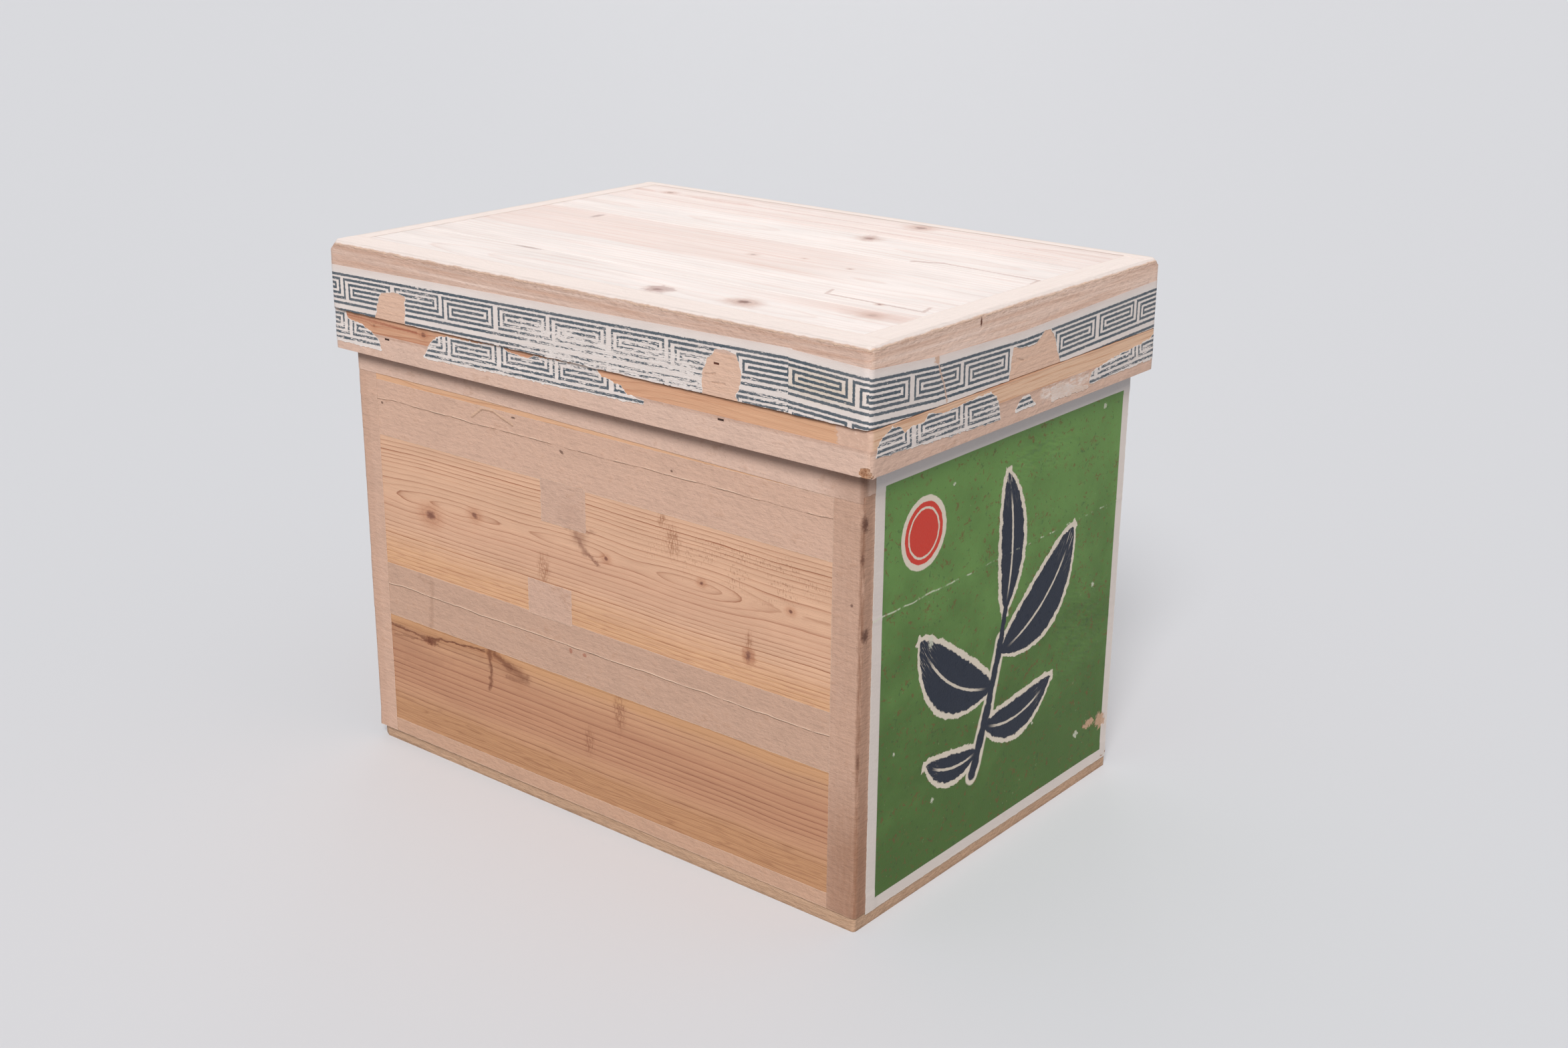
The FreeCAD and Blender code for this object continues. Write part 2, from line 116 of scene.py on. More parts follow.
lighting_colour, seen_colour = (0.3, 0.31, 0.33, 1), (0.66, 0.66, 0.68, 1)
floor_paint = bpy.data.materials.new("floor_paint")
floor_paint.use_nodes = True
floor_tree = floor_paint.node_tree
floor_shader = floor_tree.nodes["Principled BSDF"]
floor_shader.inputs["Roughness"].default_value = 0.8
floor_colour = add_node(floor_tree, "ShaderNodeMix",
                        {0: seen_share(floor_tree), 6: lighting_colour, 7: seen_colour}, data_type="RGBA")[2]
floor_tree.links.new(floor_colour, floor_shader.inputs["Base Color"])
bpy.ops.mesh.primitive_plane_add(size=60)
floor = bpy.context.object
floor.name = "floor"
floor.data.materials.append(floor_paint)
floor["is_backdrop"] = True


# The boards: cedar, sawn flat, so that each face cuts its growth rings into long
# lines and pointed loops. Every board has its own ring pattern, and many have knots. The bottom
# boards are nailed under the walls, and their edges show between the tapes and the floor.
class Field:
    """A number or colour that varies over a surface. Sums on it add Math nodes."""

    def __init__(self, finish, socket):
        self.finish, self.socket = finish, socket

    def math(self, operation, *others):
        return self.finish.node("ShaderNodeMath", dict(enumerate((self, *others))), operation=operation)

    __add__ = __radd__ = lambda self, other: self.math("ADD", other)
    __mul__ = __rmul__ = lambda self, other: self.math("MULTIPLY", other)
    __sub__ = lambda self, other: self.math("SUBTRACT", other)
    __rsub__ = lambda self, other: self * -1 + other
    __truediv__ = lambda self, other: self.math("DIVIDE", other)
    __pow__ = lambda self, other: self.math("POWER", other)
    __abs__ = lambda self: self.math("ABSOLUTE")

    def low(self, other):
        return self.math("MINIMUM", other)

    def high(self, *others):
        for other in others:
            self = self.math("MAXIMUM", other)
        return self

    def clipped(self):
        """Kept from 0 to 1."""
        return self.low(1).high(0)

    def bell(self):
        """1 at zero, and down to 0 by about 2 either way."""
        return (self * self * -1).math("EXPONENT")

    def over(self, start, end):
        """0 at start and 1 at end, smooth between and level beyond. Start may be the larger."""
        inputs = {0: self, 1: start, 2: end, 3: 0, 4: 1}
        return self.finish.node("ShaderNodeMapRange", inputs, interpolation_type="SMOOTHSTEP")

    def between(self, start, end, soft):
        """1 from start to end, with soft borders."""
        return self.over(start - soft, start + soft) * self.over(end + soft, end - soft)


def strongest(shares):
    """The largest of several shares at each place."""
    first, *others = shares
    return first.high(*others)


def light(colour):
    """A colour's usual 0 to 255 numbers as the shader's even light values. A field stays."""
    return colour if isinstance(colour, Field) else [((v / 255 + 0.055) / 1.055) ** 2.4 for v in colour] + [1]


class Finish:
    """A procedural material in millimetres: x, y and z are places on the object, and u and v on a sheet."""

    def __init__(self, name, roughness=0.6, metallic=0.0, sheet=False):
        self.material = bpy.data.materials.new(name)
        self.material.use_nodes = True
        self.tree = self.material.node_tree
        self.shader = self.tree.nodes["Principled BSDF"]
        self.shader.inputs["Roughness"].default_value = roughness
        self.shader.inputs["Metallic"].default_value = metallic
        self.shader.inputs["Specular IOR Level"].default_value = 0.5 if metallic else 0.22
        place = self.node("ShaderNodeTexCoord", {}, "Object")
        self.x, self.y, self.z = (self.node("ShaderNodeSeparateXYZ", {0: place}, axis) * 1000
                                  for axis in range(3))
        if sheet:
            spot = self.node("ShaderNodeUVMap", {}, uv_map="sheet")
            self.u, self.v = (self.node("ShaderNodeSeparateXYZ", {0: spot}, axis) * 1000 for axis in range(2))
            self.rim = self.node("ShaderNodeAttribute", {}, "Fac", attribute_name="rim")

    def node(self, kind, inputs, output=0, **settings):
        plain = {key: value.socket if isinstance(value, Field) else value for key, value in inputs.items()}
        return Field(self, add_node(self.tree, kind, plain, **settings)[output])

    def noise(self, x, y, z=0, detail=2, rough=0.5):
        """Noise from about -1 to 1, one cell per unit of the given coordinates."""
        spot = self.node("ShaderNodeCombineXYZ", {0: x, 1: y, 2: z})
        inputs = {"Vector": spot, "Scale": 1, "Detail": detail, "Roughness": rough}
        return (self.node("ShaderNodeTexNoise", inputs) - 0.5) * 4.2

    def mix(self, share, first, second):
        """From the first colour to the second, by a share from 0 to 1."""
        return self.node("ShaderNodeMix", {0: share, 6: light(first), 7: light(second)}, 2, data_type="RGBA")

    def layers(self, colour, *rows):
        """A colour with others laid over it in turn. Each row is a share and a colour."""
        for share, other in rows:
            colour = self.mix(share, colour, other)
        return colour

    def shade(self, colour, factor):
        """A colour made lighter or darker by a factor."""
        colour = colour if isinstance(colour, Field) else light(colour)[:3]
        return self.node("ShaderNodeVectorMath", {0: colour, "Scale": factor}, operation="SCALE")

    def blot(self, a, b, middle, size, ragged=0.25, soft=0.3, turn=0):
        """1 inside a ragged oval and 0 outside it."""
        da, db = a - middle[0], b - middle[1]
        if turn:
            da, db = da * math.cos(turn) + db * math.sin(turn), db * math.cos(turn) - da * math.sin(turn)
        da, db = da / size[0], db / size[1]
        reach = (da * da + db * db) ** 0.5
        if ragged:
            grain = min(size) / 1.2
            reach = reach + self.noise(a / grain, b / grain, middle[0], 3) * ragged
        return reach.over(1 + soft, 1 - soft)

    def stroke(self, a, b, start, end, width, ragged=0.3, soft=0.4):
        """1 along a ragged straight stroke of that half width."""
        length = math.dist(start, end)
        ca, cb = (end[0] - start[0]) / length, (end[1] - start[1]) / length
        along = (a - start[0]) * ca + (b - start[1]) * cb
        aside = abs((b - start[1]) * ca - (a - start[0]) * cb)
        past = (abs(along - length / 2) - length / 2).high(0)
        reach = (aside * aside + past * past) ** 0.5 / width
        if ragged:
            reach = reach + self.noise(a / width * 0.5, b / width * 0.5, start[0], 2) * ragged
        return reach.over(1 + soft, 1 - soft)

    def blots(self, a, b, *rows):
        """Several blots as one. Each row is how strong a blot is, and then its own values."""
        return strongest(self.blot(a, b, *values) * strength for strength, *values in rows)

    def strokes(self, a, b, *rows):
        """Several strokes as one. Each row is how strong a stroke is, and then its own values."""
        return strongest(self.stroke(a, b, *values) * strength for strength, *values in rows)

    def path(self, a, b, places, *values):
        """A stroke bent through several places."""
        return strongest(self.stroke(a, b, start, end, *values) for start, end in zip(places, places[1:]))

    def paint(self, colour, height, depth=0.3, roughness=None):
        """Links the colour, the relief in millimetres and the roughness to the shader."""
        relief = self.node("ShaderNodeBump", {"Strength": 1, "Distance": depth / 1000, "Height": height})
        for name, field in (("Base Color", colour), ("Normal", relief), ("Roughness", roughness)):
            if field is not None:
                self.tree.links.new(field.socket, self.shader.inputs[name])
        return self.material


def dress(name, material):
    """A piece of the frame gets its finish."""
    for slot in nodes[name].material_slots:
        slot.material = material


def cedar(name, axes, heart, face, early, late, spacing=4.5, seed=0, contrast=1, unrest=1, lenses=(),
          knots=(), extra=None):
    """Dresses a board in flat-sawn cedar. axes run along, across and through it. heart is the rings' middle
    across it and its depth under the face. Each of the lenses is a place along the board where the face
    comes nearer the heart, its reach, and how much nearer. A knot has its place, its size and how dark
    it is."""
    wood = Finish(f"cedar_{name}", roughness=0.62)
    a, b, c = (getattr(wood, axis) for axis in axes)
    middle, depth = heart
    side = 1 if face > 0 else -1
    below = c * -side + (face * side + depth) + wood.noise(a / 260, seed, 0, 1) * (1.2 if lenses else 6.5)
    for place, spread, dip in lenses:
        below = below - ((a - place) / spread).bell() * dip
    offset = b - middle + wood.noise(a / 190, seed + 7, 0, 1) * 3.6 * unrest
    radius = (offset * offset + below * below) ** 0.5 + wood.noise(a / 70, b / 16, seed) * 0.6 * unrest
    radius = radius + wood.noise(a / 22, b / 3, seed, 1) * 0.2
    cores, halos = [], []
    for knot_along, knot_across, size, dark in knots:
        da, db = (a - knot_along) * 0.75, b - knot_across
        away = (da * da + db * db) ** 0.5 + wood.noise(a / 3, b / 3, seed, 3, 0.6) * size * 0.24
        radius = radius + (away / (size * 2.4)).bell() * size * 0.5
        rim = away.between(size * 1.35, size * 1.5, size * 0.2)
        cores.append((away.over(size * 1.15, size * 0.3) * dark).high(rim * dark * 0.2))
        halos.append(away.over(size * 3.4, size * 0.7) * dark)
    rings = radius / spacing + wood.noise(radius / (spacing * 5), seed, 3, 1) * 0.5
    phase = rings.math("FRACT")
    line = (phase ** 8) * phase.over(1, 0.95) + phase * phase * 0.2
    strength = wood.noise(rings.math("FLOOR") * 0.73, seed, 9, 0) * 0.35 + 0.85
    line = line * strength * (wood.noise(a / 40, b / 5, seed + 2) * 0.28 + 0.95) * contrast
    fibre = wood.noise(a / 16, b / 0.4, c / 0.4, 2, 0.6)
    streak = wood.noise(a / 90, b / 1.5, c / 1.5, 2, 0.6)
    cloud = wood.noise(a / 110, b / 24, seed + 4, 3)
    colour = wood.mix(line.clipped(), early, late)
    colour = wood.shade(colour, 1 + fibre * 0.05 + streak * 0.055 + cloud * 0.06)
    if knots:
        colour = wood.layers(colour, (strongest(halos) * 0.5, (182, 118, 84)),
                             (strongest(cores).low(1), (104, 60, 50)))
    height = fibre * 0.25 - line * 0.5
    if extra:
        colour, height = extra(wood, colour, height)
    dress(name, wood.paint(colour, height, 0.25, fibre * 0.05 + 0.62))


tan, tan_line = (205, 164, 133), (163, 114, 82)
aged, aged_line = (196, 160, 132), (146, 106, 78)


def rough_edge(wood, colour, height):
    """The sawn and chipped lower edge of a bottom board, gone brown."""
    chips = wood.noise(wood.x / 9, wood.y / 9, wood.z / 2.5, 3, 0.7)
    grime = wood.z.over(4, 0) * 0.35 + chips * 0.3
    seam = wood.z.over(10.6, 11.6) * 0.6
    colour = wood.layers(colour, (chips.over(0.5, 0.9) * 0.5, (214, 182, 156)),
                         (grime.high(seam).low(0.8).high(0), (122, 90, 68)))
    return colour, height + chips * 1.2


for board, middle, seed in (("front", -110, 21), ("back", 90, 23)):
    cedar(f"bottom_board_{board}", "xyz", (middle, 40), 0, aged, aged_line, seed=seed, contrast=0.4,
          extra=rough_edge)


# The front wall: three boards nailed to the ends, with the widest loops of grain on the
# middle one. The lower board has darkened most, and a few knots and scars show.
def hatched(wood, a, b, *rows):
    """Short marks across the grain, where a blade or a thorn has bruised it, in patches like blots."""
    return strongest(wood.noise(a / 1.5, b / 5, middle[0], 2, 0.6).over(-0.5, 0.4)
                     * wood.blot(a, b, middle, size, 0.4, 0.7) * strength for strength, middle, size in rows)


def scars_middle(wood, colour, height):
    """Orange wood towards the lower edge, a dark smear, the planer's checks, bruises and a streaked knot."""
    x, z = wood.x, wood.z
    level = z + x * 0.012 + wood.noise(x / 90, z / 5, 5, 3) * 4
    fine = ((level * 2.6 + wood.noise(x / 60, z / 6, 1)).math("SINE") * 0.5 + 0.5) ** 2
    orange = wood.mix(fine * 0.75, (224, 170, 118), (176, 114, 74))
    pink = wood.blot(x, z, (0, 240), (300, 17), 0.3, 0.8)
    sway_x = x + wood.noise(x / 6, z / 6, 3, 4, 0.65) * 2.4
    sway_z = z + wood.noise(x / 6, z / 6, 6, 4, 0.65) * 2
    smear = wood.strokes(sway_x, sway_z, (0.9, (-14, 270), (-3, 255), 3, 0.3, 1),
                         (1, (-3, 256), (11, 248), 1.2, 0.4, 1),
                         (0.5, (-26, 273), (8, 275), 1.6, 0.6, 1))
    smear = smear.high(wood.blot(sway_x, sway_z, (-10, 268), (7, 7), 0.3, 1) * 0.7)
    bruise = hatched(wood, x, z, (1, (85, 305), (4, 6)), (1, (96, 288), (7, 12)), (1, (-54, 228), (6, 12)))
    streak = hatched(wood, x, z, (1, (177, 222), (3, 8)))
    knot = wood.blot(sway_x, sway_z, (177, 209.5), (6.5, 7.5), 0.3, 0.5)
    pith = wood.blot(sway_x, sway_z, (176.5, 210), (2.2, 3.2), 0.3, 0.8)
    check = wood.noise(x / 1.3, z / 3.2, 9, 1).over(0.15, 0.7) * wood.noise(x / 22, z / 12, 4).over(-0.4, 0.4)
    check = check * wood.blot(x, z, (180, 282), (95, 20), 0.4, 0.6)
    colour = wood.layers(
        colour, (level.over(228, 190) * 0.46, orange), (pink * 0.2, (190, 136, 112)),
        (check * 0.42, (150, 102, 76)),
        (smear * 0.62, (116, 68, 54)), (knot * 0.55, (160, 96, 68)), (pith * 0.7, (98, 58, 56)),
        (bruise.high(streak) * 0.62, (146, 92, 62)))
    return colour, height - check * 0.5 - bruise * 0.5


def scars_lower(wood, colour, height):
    """The long dark crack from the left, the cut knot's streaks, a red band and a yellow one,
    and two bruises."""
    x, z = wood.x, wood.z
    level = z + wood.noise(x / 90, z / 8, 4) * 5
    stripe = wood.noise(x / 120, z / 1.6, 11, 4, 0.65)
    fine = ((level * 2.2).math("SINE") * 0.5 + 0.5) ** 3
    brown = wood.mix(fine * 0.7, (188, 138, 98), (144, 94, 62))
    sway_x = x + wood.noise(x / 8, z / 8, 7, 3) * 2.4
    sway_z = z + wood.noise(x / 14, z / 6, 3, 3) * 1.8
    crack = wood.strokes(x, sway_z, (0.8, (-262, 123), (-213, 120), 0.9, 0.5, 0.9),
                         (1, (-213, 119), (-192, 124), 1.4, 0.5, 0.9),
                         (1, (-192, 124), (-160, 127), 0.9, 0.5, 0.9),
                         (1, (-160, 127), (-134, 130), 0.8, 0.5, 0.9),
                         (0.5, (-258, 113), (-226, 117), 0.8, 0.7, 1))
    crack = crack.high(wood.blot(x, sway_z, (-208, 119), (9, 3), 0.6, 0.6))
    branch = wood.strokes(sway_x, sway_z, (1, (-128, 131), (-126, 116), 2.2, 0.4, 0.9),
                          (1, (-125, 118), (-129, 94), 1.6, 0.5, 0.9),
                          (1, (-122, 130), (-100, 122), 2.6, 0.4, 0.9),
                          (0.75, (-104, 122), (-80, 117), 4.2, 0.6, 1),
                          (0.5, (-108, 113), (-78, 112), 1.6, 0.6, 1))
    bruise = hatched(wood, x, z, (1, (33, 118), (6, 15)), (0.9, (-4, 79), (5, 11)))
    stain = wood.blot(x, z, (-236, 104), (40, 14), 0.6, 0.9)
    shadow = wood.stroke(x, sway_z, (-262, 121), (-140, 127), 6, 0.5, 1)
    shadow = shadow.high(wood.stroke(x, z, (-126, 128), (-92, 116), 8, 0.4, 1))
    colour = wood.layers(
        colour, (level.between(60, 112, 14) * (stripe * 0.3 + 0.5).clipped() * 0.8, (176, 120, 94)),
        (level.over(62, 46) * 0.65, brown), (level.over(116, 130) * 0.45, (206, 154, 106)),
        (stain * 0.25, (150, 104, 82)), (shadow * 0.3, (140, 84, 58)),
        (crack.high(branch * 0.85) * 0.8, (104, 56, 38)), (bruise * 0.62, (134, 82, 58)))
    return colour, height - crack - bruise * 0.5


wall_face = {"front": -197.5, "back": 197.5, "left": -287.0, "right": 287.0}
cedar("front_wall_middle_board", "xzy", (257, 13.2), wall_face["front"], (222, 178, 148), (150, 90, 62), 4.2,
      1.3, unrest=0.3, extra=scars_middle, lenses=((-160, 78, 12.2), (-13, 62, 12.2), (116, 54, 12.2)),
      knots=[(-198, 245, 5.5, 0.9), (-139, 258, 3.4, 0.75), (21, 255.5, 2.2, 0.85), (127, 259.7, 2, 0.85),
             (219, 259, 2, 0.85)])
cedar("front_wall_upper_board", "xzy", (330, 60), wall_face["front"], (222, 174, 138), (204, 150, 114),
      5, 4.1)
cedar("front_wall_lower_board", "xzy", (200, 30), wall_face["front"], (203, 155, 121), (126, 76, 56), 5.4,
      2.6, unrest=0.5, extra=scars_lower, knots=[(-125, 134, 5, 0.95), (-209, 119, 2.5, 0.8)])


# The back wall and the two ends: plain boards of the same wood, three high at the back
# and two high at each end.
for level_name, middle, spacing in (("lower", 60, 6.0), ("middle", 240, 4.6), ("upper", 380, 5.0)):
    cedar(f"back_wall_{level_name}_board", "xzy", (middle, 40), wall_face["back"], tan, tan_line, spacing,
          11 + middle * 0.1, knots=[(middle - 150, middle + 20, 7, 0.8),
                                    (90 - middle * 0.3, middle - 25, 5, 0.7)])
for wall in ("left", "right"):
    for level_name, middle in (("lower", 130), ("upper", 350)):
        cedar(f"{wall}_end_{level_name}_board", "yzx", (middle, 35), wall_face[wall], tan, tan_line, 5.2,
              wall_face[wall] * 0.1 + middle, knots=[(60 - middle * 0.3, middle + 30, 6, 0.8)])


# The tin liner and the lid's lining: thin tinned sheet, soldered, gone dull and grey
# with faint crystal flowers, darker in patches and paler along the solder. The nails are plain steel wire
# nails with a brown bloom of rust.
tin = Finish("dull_tin", roughness=0.42, metallic=0.85)
spot = tin.node("ShaderNodeCombineXYZ", {0: tin.x / 14, 1: tin.y / 14, 2: tin.z / 14})
flower = tin.node("ShaderNodeTexVoronoi", {"Vector": spot, "Scale": 1}, "Color", feature="F1")
petal = tin.node("ShaderNodeSeparateXYZ", {0: flower})
smear = tin.noise(tin.x / 60, tin.y / 60, tin.z / 60, 4, 0.6)
scratch = tin.noise(tin.x / 2, tin.y / 2, tin.z / 40)
dull = tin.noise(tin.x / 25, tin.y / 25, tin.z / 25, 4, 0.7)
solder = abs(tin.x - 80 + tin.noise(0, tin.y / 9, tin.z / 9, 3) * 1.2).over(5, 3.6)
tin.paint(tin.layers(tin.shade((176, 178, 180), 1 + petal * 0.08 + smear * 0.12),
                     (dull.over(0.5, 1) * 0.5, (134, 122, 108)), (solder * 0.7, (206, 208, 210))),
          scratch * 0.2 + smear * 0.8 + solder * 1.5, 0.4, petal * 0.12 + smear * 0.1 + 0.4 - solder * 0.1)
steel = Finish("rusty_steel", metallic=0.6)
rust = steel.noise(steel.x / 1.5, steel.y / 1.5, steel.z / 1.5, 3, 0.6).over(-0.5, 0.6)
steel.paint(steel.mix(rust, (120, 112, 106), (104, 68, 48)), rust, 0.2)
for name, finish in (("tin_liner", tin), ("lid_lining", tin), ("crate_nails", steel), ("lid_nails", steel)):
    dress(name, finish.material)


# The kraft tapes on the walls: brown paper strips pasted over the base, the upright
# corners and the joints of the boards, where no label covers them, with two short patches
# at the tapes of the front. Each strip is cut straight, and its edges have frayed.
def ripple(u, v, size, seed, waves=16):
    """Smooth unevenness from about -1 to 1, with bumps about size apart."""
    dice = np.random.RandomState(seed)
    total = np.zeros(np.shape(u))
    for _ in range(waves):
        turn, pitch, start = dice.uniform(0, 6.28), size * dice.uniform(0.6, 2.4), dice.uniform(0, 6.28)
        total += np.sin((u * math.cos(turn) + v * math.sin(turn)) * 6.28 / pitch + start)
    return total / waves ** 0.5


def inside(u, v, outline):
    """How far each point lies inside a closed outline, below zero outside it."""
    nearest = np.full(np.shape(u), 1e9)
    within = np.zeros(np.shape(u), bool)
    for (u0, v0), (u1, v1) in zip(outline, outline[1:] + outline[:1]):
        du, dv = u1 - u0, v1 - v0
        share = np.clip(((u - u0) * du + (v - v0) * dv) / max(du * du + dv * dv, 1e-9), 0, 1)
        nearest = np.minimum(nearest, np.hypot(u - u0 - share * du, v - v0 - share * dv))
        crosses = (v0 > v) != (v1 > v)
        within ^= crosses & (u < (v - v0) * du / (dv if dv else 1e-9) + u0)
    return np.where(within, nearest, -nearest)


def spots_of(mesh, kind="co"):
    """The stored places of a mesh's points, or their normals."""
    flat = np.empty(len(mesh.vertices) * 3)
    mesh.vertices.foreach_get(kind, flat)
    return flat.reshape(-1, 3)


def put(mesh, places):
    """Moves a mesh's points to their places."""
    mesh.vertices.foreach_set("co", np.ravel(places))


def lay_out(mesh, u, v):
    """Writes where each point lies on the flat sheet, in metres, for the finish to read."""
    corner = np.empty(len(mesh.loops), int)
    mesh.loops.foreach_get("vertex_index", corner)
    mesh.uv_layers[0].data.foreach_set("uv", (np.stack([u, v], 1)[corner] / 1000).ravel())


def cut_paper(name, low, high, cell, outlines=None, holes=(), fray=0.12, tear=0.5, torn=False, seed=1,
              rows=()):
    """A flat sheet from low to high in its own millimetres, trimmed to its outlines. Cut edges fray a
    little, torn edges and holes are ragged, and rim keeps how far each point is from a torn edge, or from
    any edge."""
    width, height = high[0] - low[0], high[1] - low[1]
    coarse = max(cell)
    bpy.ops.object.select_all(action="DESELECT")
    bpy.ops.mesh.primitive_grid_add(x_subdivisions=max(1, round(width / cell[0])),
                                    y_subdivisions=max(1, round(height / cell[1])), size=1)
    piece = bpy.context.object
    mesh = piece.data
    piece.name = mesh.name = name
    spots = spots_of(mesh)
    u = low[0] + (spots[:, 0] + 0.5) * width
    v = low[1] + (spots[:, 1] + 0.5) * height
    for row in rows:
        nearest = np.unique(v)[np.argmin(abs(np.unique(v) - row))]
        v[v == nearest] = row
    trimmed = bool(holes or outlines)
    outlines = outlines or [[tuple(low), (high[0], low[1]), tuple(high), (low[0], high[1])]]

    def ragged(u, v, size):
        waves = ((1.0, 6.0), (0.6, 2.6), (0.4, 1.3))
        return size * sum(share * ripple(u, v, pitch, seed + number)
                          for number, (share, pitch) in enumerate(waves))

    def torn_reach(u, v):
        reach = np.full(np.shape(u), 99.0)
        for hole in holes:
            reach = np.minimum(reach, -inside(u, v, hole) + ragged(u, v, tear))
        return reach

    def reach_of(u, v):
        edge = np.max([inside(u, v, outline) for outline in outlines], axis=0)
        return np.minimum(edge + ragged(u, v, tear if torn else fray), torn_reach(u, v))

    put(mesh, np.stack([u, v, np.zeros(len(u))], 1))
    if trimmed:
        mesh.vertices.foreach_set("select", reach_of(u, v) < -0.45 * coarse)
        mesh.edges.foreach_set("select", np.zeros(len(mesh.edges), bool))
        mesh.polygons.foreach_set("select", np.zeros(len(mesh.polygons), bool))
        bpy.ops.object.mode_set(mode="EDIT")
        bpy.ops.mesh.select_mode(type="VERT")
        bpy.ops.mesh.delete(type="VERT")
        bpy.ops.object.mode_set(mode="OBJECT")
    bpy.ops.object.mode_set(mode="EDIT")
    bpy.ops.mesh.select_mode(type="VERT")
    bpy.ops.mesh.select_all(action="DESELECT")
    bpy.ops.mesh.select_non_manifold()
    bpy.ops.object.mode_set(mode="OBJECT")
    spots = spots_of(mesh)
    border = np.empty(len(spots), bool)
    mesh.vertices.foreach_get("select", border)
    u, v = spots[:, 0], spots[:, 1]
    step = 0.2
    for _ in range(2):
        reach = reach_of(u, v)
        lean_u, lean_v = reach_of(u + step, v) - reach, reach_of(u, v + step) - reach
        size = np.maximum(np.hypot(lean_u, lean_v), 1e-6)
        push = np.where(border, np.clip(-reach, -0.7 * coarse, 0.7 * coarse), 0)
        u, v = u + push * lean_u / size, v + push * lean_v / size
    put(mesh, np.stack([u, v, np.zeros(len(u))], 1))
    rim = mesh.attributes.new("rim", "FLOAT", "POINT")
    rim.data.foreach_set("value", np.clip(torn_reach(u, v) if holes and not torn else reach_of(u, v), 0, 30))
    mesh.uv_layers[0].name = "sheet"
    lay_out(mesh, u, v)
    return piece, u, v


def paste(piece, place, thick, material, body, node):
    """Puts a cut sheet where it is pasted and gives it its thickness and finish. It rides on its body and
    stands for its node."""
    put(piece.data, place / 1000)
    piece.data.update()
    solid = piece.modifiers.new("thickness", "SOLIDIFY")
    solid.thickness = thick / 1000
    solid.offset = 1.0
    bpy.context.view_layer.objects.active = piece
    bpy.ops.object.modifier_apply(modifier=solid.name)
    bpy.ops.object.select_all(action="DESELECT")
    piece.select_set(True)
    bpy.ops.object.shade_smooth_by_angle(angle=math.radians(40))
    piece.data.materials.append(material)
    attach(piece, body)
    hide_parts(node)


def on_side(side, along, out, z):
    """A place on one side of the crate, from the distances along it and out from the middle."""
    turned = {"front": (along, -out), "right": (out, along), "back": (-along, out), "left": (-out, -along)}
    return np.stack([*turned[side], z + np.zeros(np.shape(along))], 1)


def round_corner(side, along, z, half, radius, lift):
    """A place on the side, bent round its upright corners where it runs past them."""
    half_along, half_out = half
    past = np.maximum(abs(along) - half_along, 0)
    along = np.clip(along, -half_along, half_along)
    out = half_out - past
    core_along = np.clip(along, radius - half_along, half_along - radius)
    core_out = np.minimum(out, half_out - radius)
    share = (radius + lift) / np.hypot(along - core_along, out - core_out)
    return on_side(side, core_along + (along - core_along) * share, core_out + (out - core_out) * share, z)


def box_sides(half_length, half_width):
    """Half the length of each side of a box, and how far out from the middle it stands."""
    long_side, short_side = (half_length, half_width), (half_width, half_length)
    return {"front": long_side, "back": long_side, "left": short_side, "right": short_side}


def kraft(name, colour, streaks=0.02, dirt=1, marks=None):
    """Brown paper: fine fibres, mottled stains, grime in spots, and the grain of the wood under it."""
    paper = Finish(f"kraft_{name}", roughness=0.85, sheet=True)
    u, v = paper.u, paper.v
    fibre = paper.noise(u / 1.5, v / 1.3, 1, 3, 0.7)
    speck = paper.noise(u / 1.2, v / 1.1, 2, 1)
    cloud = paper.noise(u / 40, v / 22, 3, 3, 0.6)
    blotch = paper.noise(u / 8, v / 5, 8, 4, 0.62)
    streak = paper.noise(u / 60, v / 2.4, 4, 3, 0.6)
    tone = paper.layers(
        paper.shade(colour, 1.03 + fibre * 0.035 + cloud * 0.07 + blotch * 0.06 + streak * streaks),
        ((cloud * 0.6 + blotch * 0.6).over(0.1, 1.1) * 0.45 * dirt, (160, 120, 94)),
        (speck.over(0.75, 1.15) * 0.5 * dirt, (112, 80, 62)),
        ((speck * 0.7 + streak * 0.5).over(-0.6, -1) * 0.4, (232, 206, 186)),
        ((paper.rim + fibre * 0.3).over(1, 0.1) * 0.35, (222, 196, 174)))
    height = fibre * 0.16 + blotch * 0.9 + streak * 0.3
    if marks:
        tone, height = marks(paper, tone, height)
    return paper.paint(tone, height, 0.25)


def crease_marks(middle, kept=0.0):
    """The pale cracked ridge where a tape bends over the joint between two boards, with a painted shadow
    under it.
    """
    def marks(paper, tone, height):
        away = paper.v - middle + paper.noise(paper.u / 50, 0, 1, 4) * 1.6
        broken = paper.noise(paper.u / 16, middle, 2, 4, 0.7)
        pale = abs(away).over(0.7, 0.2) * broken.over(-0.3 - kept, 0.5 - kept)
        # Painted shadow: a dark line just under the ridge.
        dark = abs(away + 0.9).over(0.7, 0.15) * broken.over(-0.9, 0.1)
        tone = paper.layers(tone, (dark * 0.5, (126, 88, 66)), (pale * 0.6, (236, 206, 182)))
        return tone, height + pale * 1.2 - dark * 0.8
    return marks


upper_joint, middle_joint, left_joint = 344.4, 164.5, 265.0


